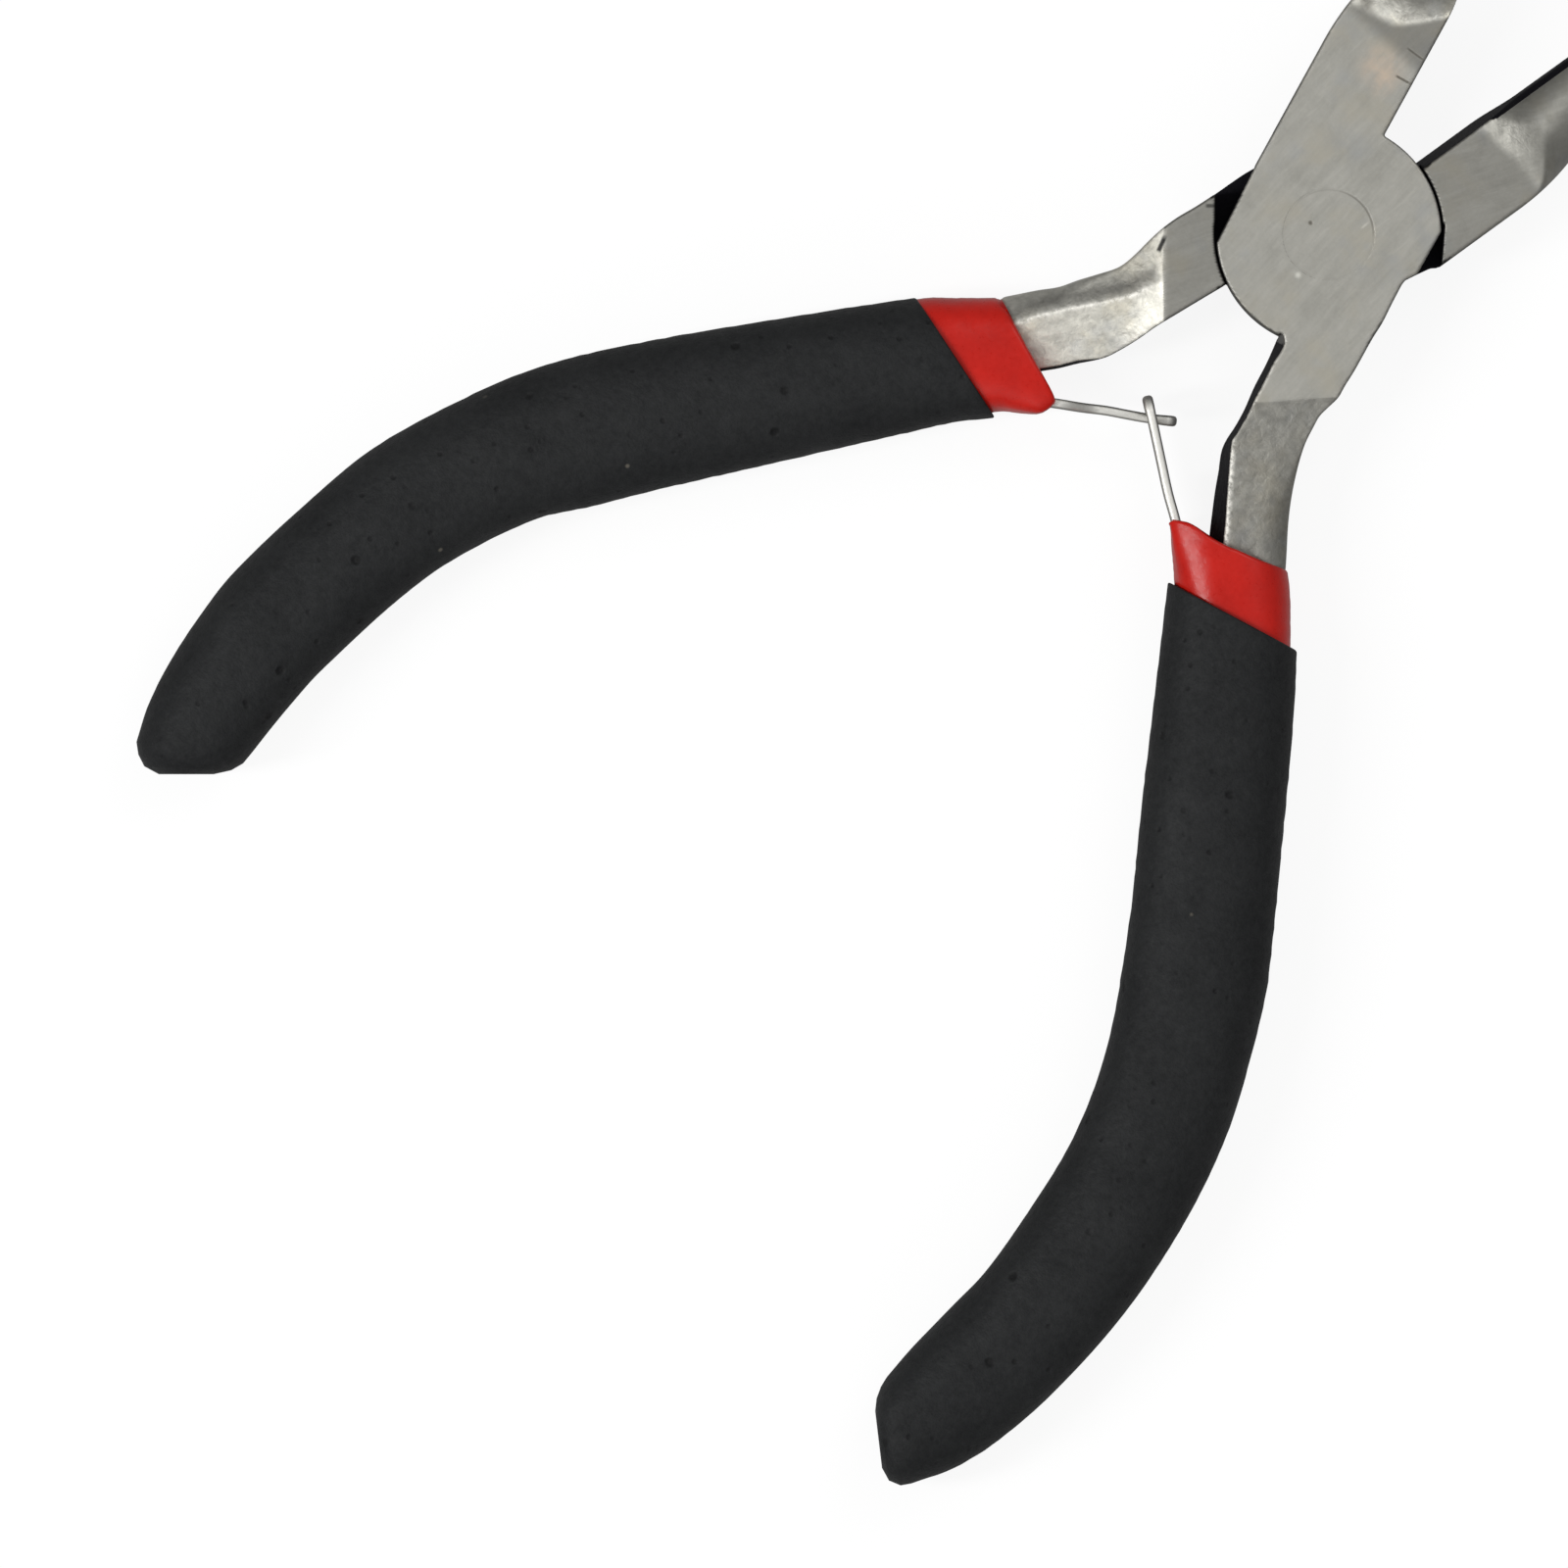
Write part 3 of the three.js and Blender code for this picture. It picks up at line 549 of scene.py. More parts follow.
def oxide_and_shade_values(lever, v, normals):
    """Where the black forged skin is left, 0 to 1. On the outer flanks and on the flats where the
    levers lap, the black is partly painted shade.
    """
    x, y, z = v.T
    flat = np.abs(normals[:, 2])
    along, out, outward = jaw_axes(lever, x, y)
    neck = along_neck(lever, x, y)
    radius = np.hypot(x, y)
    from_inner, _ = line_distance(NECK_INNER[lever], x, y)
    from_outer, _ = line_distance(NECK_OUTER[lever], x, y)
    neck_outer = (from_outer < from_inner) * smoothstep(5.5, 8.5, neck)
    jaw_outer = smoothstep(2.4, 3.6, out) * smoothstep(7.0, 10.0, along)
    # flanks: black skin on the inner sides; on the outer ones only a darker band of painted shade
    oxide_and_shade = 1 - smoothstep(0.40, 0.62, flat)
    outer_flank_shade = 0.45 * (1 - smoothstep(0.02, 0.22, flat))
    oxide_and_shade = oxide_and_shade + (outer_flank_shade - oxide_and_shade) * np.maximum(neck_outer, jaw_outer)
    # the flats where the levers lap: black, partly the forged skin and partly painted shade in the
    # recess
    oxide_and_shade = np.where((np.abs(z - MID) < 0.2) & (flat > 0.5) & (radius < 9.5), 1.0, oxide_and_shade)
    # the round jaw is ground, except along its inner face
    inward = -(normals[:, :2] @ outward)
    ground = smoothstep(13.6, 14.6, along + 0.02 * (out - 3) ** 2)
    skin_side = (z > MID - 0.3) if lever == "b" else (z < MID + 0.3)
    inner_edge = (1 - smoothstep(0.30, 0.46, out)) * (1 - smoothstep(23.0, 27.0, along))
    inner_edge = inner_edge * skin_side * smoothstep(0.1, 0.3, inward)
    inner_face = smoothstep(0.75, 0.95, inward) * (out < 3) * (1 - smoothstep(21.5, 25.5, along))
    oxide_and_shade = oxide_and_shade * (1 - ground) + np.maximum(inner_face, inner_edge) * ground
    if lever == "a":
        # the boss's free edge on the handle side is only dulled
        free = (radius < 8.4) & (y < -3.6) & (z > MID + 0.3) & (neck < 8.0)
        oxide_and_shade = np.where(free, 0.30 * oxide_and_shade, oxide_and_shade)
    return oxide_and_shade


def finish_values(lever, v, normals):
    """The steel's other attributes: bright worn edges on lever A and painted highlights on lever
    B's ridge; facet, 0 on the ground flats, 1 on the sloped neck faces and 2 on the inner one of
    lever B's two; painted shade on the rims and beside B's ridge; a painted highlight at the cone's
    start."""
    x, y = v[:, 0], v[:, 1]
    up = normals[:, 2]
    flat = np.abs(up)
    along, out, _ = jaw_axes(lever, x, y)
    neck = along_neck(lever, x, y)
    radius = np.hypot(x, y)
    past = neck - SLOPE_FROM[lever]
    facet = smoothstep(0.0, 0.12, past) * (along < 0)
    start = cone_start(lever, along, out)
    # a painted highlight where the flat gives way to the cone, strongest at its start
    cone_highlight = smoothstep(13.8, 14.5, start) * (1 - 0.8 * smoothstep(15.3, 17.0, start))
    # painted shade that dulls the highlights on the rounded rims of the flats
    rim_and_crease_shade = smoothstep(0.9995, 0.97, flat) * (along < 12.5) * (neck < SLOPE_FROM[lever])
    handle_side = np.where((radius < 8.4) & (y < -2.0), 0.75, 0.3)
    rim_and_crease_shade = rim_and_crease_shade * np.where((radius < 8.7) & (lever == "b"), 1.0, handle_side)
    if lever == "a":
        # along the inner neck, beside the black flank
        edge, _ = line_distance(STRIP_A, x, y)
        wear_and_highlight = bell(edge, 0.16, 0.16) * smoothstep(13.0, 15.5, neck) * (flat > 0.45)
        faint = 0.45 * bell(edge, 0.1, 0.12) * smoothstep(6, 8, neck) * (flat > 0.45)
        wear_and_highlight = np.maximum(wear_and_highlight, faint)
    else:
        # a painted highlight along the ridge, and a fainter bright line in the crease at the end of
        # the ground flat
        from_ridge, side = line_distance(RIDGE_LINE, x, y)
        wear_and_highlight = 0.95 * bell(from_ridge, 0, 0.20) * smoothstep(12.0, 12.8, neck) * (up > 0.3)
        wear_and_highlight = np.maximum(wear_and_highlight, 0.35 * bell(past, 0.25, 0.28) * (up > 0.5))
        signed = np.where(side > 0, from_ridge, -from_ridge)
        facet = facet * (1 + smoothstep(-0.12, 0.12, signed))
        # painted shade on the upper face beside the ridge, darkest towards the crease
        shade = bell(signed, -0.75, 0.6) * smoothstep(11.6, 12.4, neck) * (up > 0.3)
        rim_and_crease_shade = np.maximum(rim_and_crease_shade, 0.62 * shade)
        # the cone's painted highlight fades towards B's outer side
        cone_highlight = cone_highlight * (1 - 0.85 * smoothstep(2.2, 4.6, out))
    # Blender stores the second copy of the wear and painted highlight attribute under a numbered
    # name
    return [("wear_and_highlight", wear_and_highlight), ("facet", facet), ("rim_and_crease_shade", rim_and_crease_shade), ("cone_highlight", cone_highlight), ("wear_and_highlight", wear_and_highlight)]


def build_lever(lever):
    low = np.array([-12.0 if lever == "a" else -18.0, -27.5, -0.45])
    high = np.array([18.0 if lever == "a" else 9.9, 33.6, 9.45])
    x, y, z = grid_axes(low, high, FIELD_STEP)
    field = lever_field(lever, *np.meshgrid(x, y, indexing="ij"), z)
    v, quads, normals = mesh_field(field, low, FIELD_STEP)
    ob = make_mesh(f"lever_{lever}_forging", v, quads, normals=normals)
    attribute(ob, "oxide_and_shade", oxide_and_shade_values(lever, v, normals))
    for name, values in finish_values(lever, v, normals):
        attribute(ob, name, values)
    return ob


# ------------------------------------------------------------------ lofted skins
RING_POINTS = 96
GRIP_RIBS = 110


def rib_frame(rib):
    """Centre, half width and inner-to-outer unit vector of a rib."""
    rib = np.asarray(rib, float)
    span = rib[2:] - rib[:2]
    half = np.hypot(*span) / 2
    return (rib[:2] + rib[2:]) / 2, half, span / (2 * half)


def section(rib, height, power, count=RING_POINTS):
    """A superellipse standing on a rib, height above and below mid thickness."""
    centre, half, unit = rib_frame(rib)
    turn = np.linspace(0, 2 * math.pi, count, endpoint=False)
    cos, sin = np.cos(turn), np.sin(turn)
    x = np.sign(cos) * np.abs(cos) ** (2.0 / power) * half
    z = np.sign(sin) * np.abs(sin) ** (2.0 / power) * height
    return np.c_[centre + np.outer(x, unit), MID + z]


def squared(ring, rib, height, amount, flank):
    """Give a section a tall flat flank on its inner side, where the leaf comes out."""
    centre, half, unit = rib_frame(rib)
    x = (ring[:, :2] - centre) @ unit
    turn = np.linspace(0, 2 * math.pi, len(ring), endpoint=False)
    inner = np.cos(turn) < 0
    # walk the inner half again: flank, then an elliptic shoulder up to the crown
    share = 0.35  # of the walk that is flank
    walk = np.clip(np.arcsin(np.abs(np.sin(turn))) / (math.pi / 2), 0, 1)
    shoulder = np.clip((walk - share) / (1 - share), 0, 1) * (math.pi / 2)
    shoulder_x = np.where(walk >= 1, x, -0.2 * half - 0.80 * half * np.cos(shoulder))
    shoulder_z = flank + (height - flank) * np.sin(shoulder)
    new_x = np.where(walk < share, -half, shoulder_x)
    new_z = np.where(walk < share, flank * walk / share, shoulder_z)
    new_z = new_z * np.sign(np.sin(turn) + 1e-12)
    x = x * (1 - amount) + new_x * amount
    z = (ring[:, 2] - MID) * (1 - amount) + new_z * amount
    out = ring.copy()
    out[inner, :2] = centre + unit * x[inner, None]
    out[inner, 2] = MID + z[inner]
    return out


def loft(name, rings, smooth=True):
    """A closed skin over the rings, with a fan at each end, facing outwards."""
    n = len(rings[0])
    last = (len(rings) - 1) * n
    first_centre = len(rings) * n
    verts = np.vstack([*rings, rings[0].mean(0), rings[-1].mean(0)])
    faces = []
    for b in range(0, last, n):
        for k in range(n):
            k2 = (k + 1) % n
            faces.append([b + k, b + k2, b + n + k2, b + n + k])
    faces += [[(k + 1) % n, k, first_centre] for k in range(n)]
    faces += [[last + k, last + (k + 1) % n, first_centre + 1] for k in range(n)]
    ob = make_mesh(name, verts, faces, smooth)
    bm = bmesh.new()
    bm.from_mesh(ob.data)
    bmesh.ops.recalc_face_normals(bm, faces=bm.faces)
    if bm.calc_volume(signed=True) < 0:
        bmesh.ops.reverse_faces(bm, faces=bm.faces)
    bm.to_mesh(ob.data)
    bm.free()
    return ob


def shrink(rib, inner, outer):
    """The rib, shortened at its two ends."""
    _, _, unit = rib_frame(rib)
    return np.r_[np.array(rib[:2]) + unit * inner, np.array(rib[2:]) - unit * outer]


def dense_ribs(ribs, count):
    """The ribs again, smoothly filled in to the given count."""
    r = np.asarray(ribs, float)
    reach = path_length((r[:, :2] + r[:, 2:]) / 2)
    t = np.linspace(0, reach[-1], count)
    out = np.zeros((count, 4))
    for column in range(4):
        curve = spline(np.stack([reach, r[:, column]], 1), 8 * count)
        nearest = np.clip(np.searchsorted(curve[:, 0], t), 0, 8 * count - 1)
        out[:, column] = curve[nearest, 1]
    return out


def bend_to_mouth(rings, rib, mouth, back):
    """Move the rings next to the mouth rib so that they follow the mouth's outline in plan."""
    _, half, unit = rib_frame(rib)
    start = np.array(rib[:2])
    inwards = np.array([unit[1], -unit[0]])
    if inwards @ back < 0:
        inwards = -inwards
    points = np.asarray(mouth, float) - start
    across, depth = points @ unit / (2 * half), points @ inwards
    order = np.argsort(across)
    for ring in rings:
        p = ring[:, :2] - start
        fade = 1 - smoothstep(0.0, MOUTH_REACH, p @ inwards)
        shift = np.interp((p @ unit) / (2 * half), across[order], depth[order]) * fade
        ring[:, :2] += inwards * shift[:, None]


def skin(name, ribs, height, power, end, lip, inner, mouth=None, square=0):
    """A closed, open-mouthed skin: outside rings from the end to the mouth, a rounded lip, then
    the inside rings. end and inner hold (rib, height, power); the inner flank is squared at the
    mouth, fading over the number of ribs in square."""
    flank = 3.0
    middles = [rib_frame(ribs[i])[0] for i in (0, 1)]
    back = (middles[1] - middles[0]) / np.hypot(*(middles[1] - middles[0]))  # into the handle
    rings = [section(*station) for station in end[::-1]]
    for i in range(len(ribs) - 1, 0, -1):
        ring = section(ribs[i], height, power)
        amount = float(np.clip(1 - (i - 3) / square, 0, 1)) if square else 0
        if amount > 0:
            ring = squared(ring, ribs[i], height, amount, flank)
        rings.append(ring)
    # lip: a quarter round from the outside to the mouth face
    for angle in np.radians([12, 30, 48, 66, 80, 90]):
        inset = lip * (1 - math.cos(angle))
        rib = shrink(ribs[0], inset, inset)
        ring = section(rib, height - inset, power)
        if square:
            ring = squared(ring, rib, height - inset, 1.0, flank - inset)
        ring[:, :2] += back * lip * (1 - math.sin(angle))
        rings.append(ring)
    rings += [section(*station) for station in inner]
    if mouth is not None:
        bend_to_mouth(rings, ribs[0], mouth, back)
    return loft(name, rings)


def build_grip(lever):
    ribs = dense_ribs(GRIP[lever], GRIP_RIBS)
    ribs[0] = ribs[0] - 0.30 * (ribs[1] - ribs[0])
    ends = GRIP_END[lever]
    end = [(ends[0], 4.6, 2.55), (ends[1], 4.05, 2.5), (ends[2], 3.2, 2.4)]
    end.append((shrink(ends[2], 1.0, 1.0), 1.9, 2.3))
    inner = [(shrink(ribs[i], 0.55, 0.55), 4.27, 2.6) for i in range(0, 100, 3)]
    return skin(f"outer_grip_{lever}_skin", ribs, height=4.8, power=2.6, end=end, lip=0.2,
                inner=inner)


def build_sleeve(lever):
    """The red sleeve: the collar in the open, then a run inside the black grip."""
    grip = dense_ribs(GRIP[lever], GRIP_RIBS)
    ribs = list(dense_ribs(COLLAR[lever], 22)[:-1])
    ribs += [shrink(grip[i], 0.6, 0.6) for i in range(8, 100, 4)]
    # the collar is a little wider on its inner side
    ribs = [shrink(rib, -0.08 * max(0, 1 - i / 12), 0) for i, rib in enumerate(ribs)]
    end = [(shrink(grip[101], 0.9, 0.9), 3.9, 2.6), (shrink(grip[103], 1.6, 1.6), 3.0, 2.5)]
    bore = ((3.45, 4.5), (3.4, 4.2), (3.38, 4.0))  # height and power of the first bore ribs
    inner = [(rib, *size) for rib, size in zip(BORE_START[lever], bore)]
    inner += [(shrink(grip[i], 2.3 if i < 24 else 1.6, 1.55), 3.38, 3.5) for i in range(10, 92, 6)]
    return skin(f"inner_sleeve_{lever}_skin", ribs, height=4.25, power=2.9, end=end, lip=0.25,
                inner=inner, mouth=MOUTH[lever], square=15)


def build_core(lever):
    """The handle core inside the sleeve, joined to the lever's forging."""
    grip = dense_ribs(GRIP[lever], GRIP_RIBS)
    rings = [section(rib, 3.2, 4.0, 32) for rib in CORE_START[lever]]
    for i in range(10, 90, 5):
        rings.append(section(shrink(grip[i], 2.4 if i < 24 else 1.7, 1.65), 3.3, 3.5, 32))
    ob = loft(f"core_{lever}", rings)
    uniform_steel(ob, oxide_and_shade=1.0)
    return ob


# ------------------------------------------------------------------ leaf springs
def build_leaf(lever):
    """One strip from its clamped end to its tip. A's has a slot, B's narrows to a tongue
    through it. It is meshed straight, then bent onto its path."""
    path = spline(np.vstack([LEAF_CLAMPED[lever], LEAF_FREE[lever]]), 600)
    reach = path_length(path)
    root = reach[np.argmin(np.hypot(*(path - LEAF_FREE[lever][0]).T))]
    total = reach[-1]
    low = np.array([-0.3, -0.8, MID - 3.3])
    high = np.array([total + 0.3, 0.8, MID + 3.3])
    lengths, depths, heights = grid_axes(low, high, LEAF_STEP)
    along, z = np.meshgrid(lengths, heights, indexing="ij")
    half = LEAF_WIDTH / 2 - 0.02

    def box(start, end, half_height, radius):
        """Rounded rectangle on the strip."""
        long = np.abs(along - (start + end) / 2) - ((end - start) / 2 - radius)
        return corner(long, np.abs(z - MID) - (half_height - radius)) - radius

    if lever == "a":
        slot = box(root + 3.0, root + 8.42, half_height=1.5, radius=0.3)
        plan = np.maximum(box(0, total, half_height=half, radius=1.2), -slot)
    else:
        arm = along - root
        tongue = half + (1.38 - half) * smoothstep(0.3, 3.2, arm) - 0.18 * smoothstep(3.2, 6.5, arm)
        plan = round_and(np.abs(z - MID) - tongue, along - total, 0.75)
        plan = np.maximum(plan, -along)
        plan = plan / np.sqrt(1 + np.gradient(tongue, LEAF_STEP, axis=0) ** 2)
    # the tip is a little thicker
    half_thick = LEAF_THICK / 2 + 0.03 * smoothstep(total - 1.7, total - 0.5, along)
    field = np.empty((len(lengths), len(depths), len(heights)), np.float32)
    for i, depth in enumerate(depths):
        field[:, i, :] = round_and(plan, abs(depth) - half_thick, 0.27)
    v, quads, normals = mesh_field(field, low, LEAF_STEP)
    # bend the straight strip onto its path
    tangents = np.gradient(path, axis=0)
    tangents /= np.hypot(*tangents.T)[:, None]
    on_path = np.clip(v[:, 0], 0, total)
    point = np.stack([np.interp(on_path, reach, path[:, c]) for c in (0, 1)], 1)
    tangent = np.stack([np.interp(on_path, reach, tangents[:, c]) for c in (0, 1)], 1)
    tangent /= np.hypot(*tangent.T)[:, None]
    across = np.stack([-tangent[:, 1], tangent[:, 0]], 1)
    xy = point + tangent * (v[:, 0] - on_path)[:, None] + across * v[:, 1:2]
    bent = np.c_[tangent * normals[:, 0:1] + across * normals[:, 1:2], normals[:, 2]]
    ob = make_mesh(f"spring_leaf_{lever}", np.c_[xy, v[:, 2]], quads, normals=bent)
    # painted shade: the strip's faces are darker than the middle of its thickness, as on a rounded
    # edge seen from above
    attribute(ob, "edge", smoothstep(0.50, 1.0, np.abs(v[:, 1]) / (LEAF_THICK / 2)))
    return ob


# Half section of the pivot rivet, [radius, z]: its flush ends show as a hair-line ring.
RIVET_PROFILE = [
    (0.9, -0.003), (2.2, -0.003), (3.22, -0.003), (3.22, 0.005), (3.09, 0.03), (3.09, 0.98),
    (2.5, 1.0), (2.5, 8.0), (3.09, 8.02), (3.09, 8.97), (3.22, 8.995), (3.22, 9.003),
    (2.2, 9.003), (0.9, 9.003),
]


def build_rivet():
    count = 160
    turn = np.linspace(0, 2 * math.pi, count, endpoint=False)
    rings = [np.stack([r * np.cos(turn), r * np.sin(turn), np.full(count, z)], 1)
             for r, z in RIVET_PROFILE]
    ob = loft("pivot_rivet_shown", rings, smooth=False)
    uniform_steel(ob, oxide_and_shade=0.0)
    return ob


# ------------------------------------------------------------------ materials
class Nodes:
    """Builds a node tree. A value passed to a method may be a number or another node's output."""

    def __init__(self, owner):
        owner.use_nodes = True
        self.tree = owner.node_tree
        self.tree.nodes.clear()

    def node(self, kind, **props):
        node = self.tree.nodes.new(kind)
        for name, value in props.items():
            setattr(node, name, value)
        return node

    def link(self, a, b):
        self.tree.links.new(a, b)

    def put(self, socket, value):
        if isinstance(value, bpy.types.NodeSocket):
            self.link(value, socket)
        else:
            socket.default_value = value

    def math(self, operation, a, b=0.0, c=0.0, clamp=False):
        node = self.node("ShaderNodeMath", operation=operation, use_clamp=clamp)
        for socket, value in zip(node.inputs, (a, b, c)):
            self.put(socket, value)
        return node.outputs[0]

    def add(self, *values):
        return reduce(lambda a, b: self.math("ADD", a, b), values)

    def sub(self, a, b):
        return self.math("SUBTRACT", a, b)

    def mul(self, *values):
        return reduce(lambda a, b: self.math("MULTIPLY", a, b), values)

    def max(self, a, b):
        return self.math("MAXIMUM", a, b)

    def weighted(self, *pairs):
        """Sum of (value, weight) pairs."""
        return self.add(*[self.mul(value, weight) for value, weight in pairs])

    def ramp(self, value, span, to=(0.0, 1.0), kind="SMOOTHSTEP"):
        node = self.node("ShaderNodeMapRange", interpolation_type=kind)
        self.put(node.inputs["Value"], value)
        names = ("From Min", "From Max", "To Min", "To Max")
        for name, limit in zip(names, (*span, *to)):
            node.inputs[name].default_value = limit
        return node.outputs["Result"]

    def linear(self, value, span=(0, 1), to=(0, 1)):
        return self.ramp(value, span, to, kind="LINEAR")

    def mix_number(self, factor, a, b):
        node = self.node("ShaderNodeMix", data_type="FLOAT")
        for socket, value in ((node.inputs["Factor"], factor), (node.inputs[2], a),
                              (node.inputs[3], b)):
            self.put(socket, value)
        return node.outputs[0]


class Material(Nodes):
    """A Principled material; its textures work in millimetres."""

    def __init__(self, name):
        self.material = bpy.data.materials.new(name)
        super().__init__(self.material)
        output = self.node("ShaderNodeOutputMaterial")
        self.bsdf = self.node("ShaderNodeBsdfPrincipled")
        self.link(self.bsdf.outputs[0], output.inputs["Surface"])

    def finish(self, colour, metallic, rough, normal, specular=0.5):
        named = {"Base Color": colour, "Metallic": metallic, "Roughness": rough,
                 "Normal": normal, "Specular IOR Level": specular}
        for name, value in named.items():
            self.put(self.bsdf.inputs[name], value)
        return self.material

    def coords(self, scale=(1, 1, 1), rot=(0, 0, 0), loc=(0, 0, 0)):
        source = self.node("ShaderNodeTexCoord")
        mapping = self.node("ShaderNodeMapping")
        self.link(source.outputs["Object"], mapping.inputs["Vector"])
        mapping.inputs["Scale"].default_value = [1000 * s for s in scale]
        mapping.inputs["Rotation"].default_value = rot
        mapping.inputs["Location"].default_value = loc
        return mapping.outputs[0]

    def stretched(self, deg, along, across):
        """Coordinates turned to deg from +x and scaled along and across that direction."""
        node = self.node("ShaderNodeVectorMath", operation="MULTIPLY")
        self.link(self.coords(rot=(0, 0, -math.radians(deg))), node.inputs[0])
        node.inputs[1].default_value = (along, across, across)
        return node.outputs[0]

    def noise(self, vector, scale=1.0, detail=3, rough=0.55, distortion=0.0):
        node = self.node("ShaderNodeTexNoise")
        self.link(vector, node.inputs["Vector"])
        node.inputs["Scale"].default_value = scale
        node.inputs["Detail"].default_value = detail
        node.inputs["Roughness"].default_value = rough
        node.inputs["Distortion"].default_value = distortion
        return node.outputs["Fac"]

    def voronoi(self, loc, scale, output):
        node = self.node("ShaderNodeTexVoronoi")
        self.link(loc if isinstance(loc, bpy.types.NodeSocket) else self.coords(loc=loc),
                  node.inputs["Vector"])
        node.inputs["Scale"].default_value = scale
        return node.outputs[output]

    def dots(self, loc, scale, size, gate):
        """Round dots, 1 within size[0] of a cell's middle to 0 at size[1], in the cells whose
        random value passes the gate. loc is a shift, or ready coordinates."""
        near = self.ramp(self.voronoi(loc, scale, "Distance"), size, to=(1, 0))
        return self.mul(near, self.ramp(self.voronoi(loc, scale, "Color"), gate))

    def mix(self, factor, a, b):
        node = self.node("ShaderNodeMix", data_type="RGBA")
        self.put(node.inputs["Factor"], factor)
        for socket, value in ((node.inputs[6], a), (node.inputs[7], b)):
            self.put(socket, (*value, 1) if isinstance(value, tuple) else value)
        return node.outputs[2]

    def tint(self, colour, mask, amount, to):
        return self.mix(self.mul(mask, amount), colour, to)

    def bump(self, height, strength, distance, normal=None):
        node = self.node("ShaderNodeBump")
        self.put(node.inputs["Height"], height)
        node.inputs["Strength"].default_value = strength
        node.inputs["Distance"].default_value = distance
        if normal is not None:
            self.link(normal, node.inputs["Normal"])
        return node.outputs[0]

    def attr(self, name):
        return self.node("ShaderNodeAttribute", attribute_name=name).outputs["Fac"]

    def axes(self):
        """Object x, y and z in metres."""
        source = self.node("ShaderNodeTexCoord")
        split = self.node("ShaderNodeSeparateXYZ")
        self.link(source.outputs["Object"], split.inputs[0])
        return split.outputs

    def on_top(self, z, *factors):
        """The product of the factors, on the upper side only."""
        return self.mul(*factors, self.math("GREATER_THAN", z, 0.006))

    def length(self, x, y):
        return self.math("SQRT", self.add(self.mul(x, x), self.mul(y, y)))

    def spot(self, at, full, fade):
        """1 within the full radius of a point in plan, mm, falling to 0 at the fade radius."""
        x, y, z = self.axes()
        distance = self.length(self.sub(x, at[0] * MM), self.sub(y, at[1] * MM))
        return self.on_top(z, self.ramp(distance, (full * MM, fade * MM), to=(1, 0)))

    def ring(self, half, turn, radius=3.12):
        """1 on a faint arc about the pivot: half its line width, mm, and its two ends, degrees."""
        x, y, z = self.axes()
        off = self.math("ABSOLUTE", self.sub(self.length(x, y), radius * MM))
        on_line = self.ramp(off, (0.2 * half * MM, half * MM), to=(1, 0))
        angle = self.math("ARCTAN2", y, x)
        start, end = math.radians(turn[0]), math.radians(turn[1])
        on_arc = self.mul(self.ramp(angle, (start - 0.2, start + 0.1)),
                          self.ramp(angle, (end - 0.4, end + 0.2), to=(1, 0)))
        return self.on_top(z, on_line, on_arc)

    def stroke(self, start, end, half):
        """1 on a short straight scratch between two points: half is half its width, mm."""
        x, y, z = self.axes()
        length = math.hypot(end[0] - start[0], end[1] - start[1])
        ux, uy = (end[0] - start[0]) / length, (end[1] - start[1]) / length
        dx, dy = self.sub(x, start[0] * MM), self.sub(y, start[1] * MM)
        along = self.add(self.mul(dx, ux), self.mul(dy, uy))
        off = self.math("ABSOLUTE", self.sub(self.mul(dy, ux), self.mul(dx, uy)))
        inside = self.mul(
            self.ramp(along, (-0.1 * MM, 0.15 * MM)),
            self.ramp(along, ((length - 0.4) * MM, (length + 0.1) * MM), to=(1, 0)),
        )
        width = self.ramp(off, (0.3 * half * MM, half * MM), to=(1, 0))
        return self.on_top(z, width, inside)


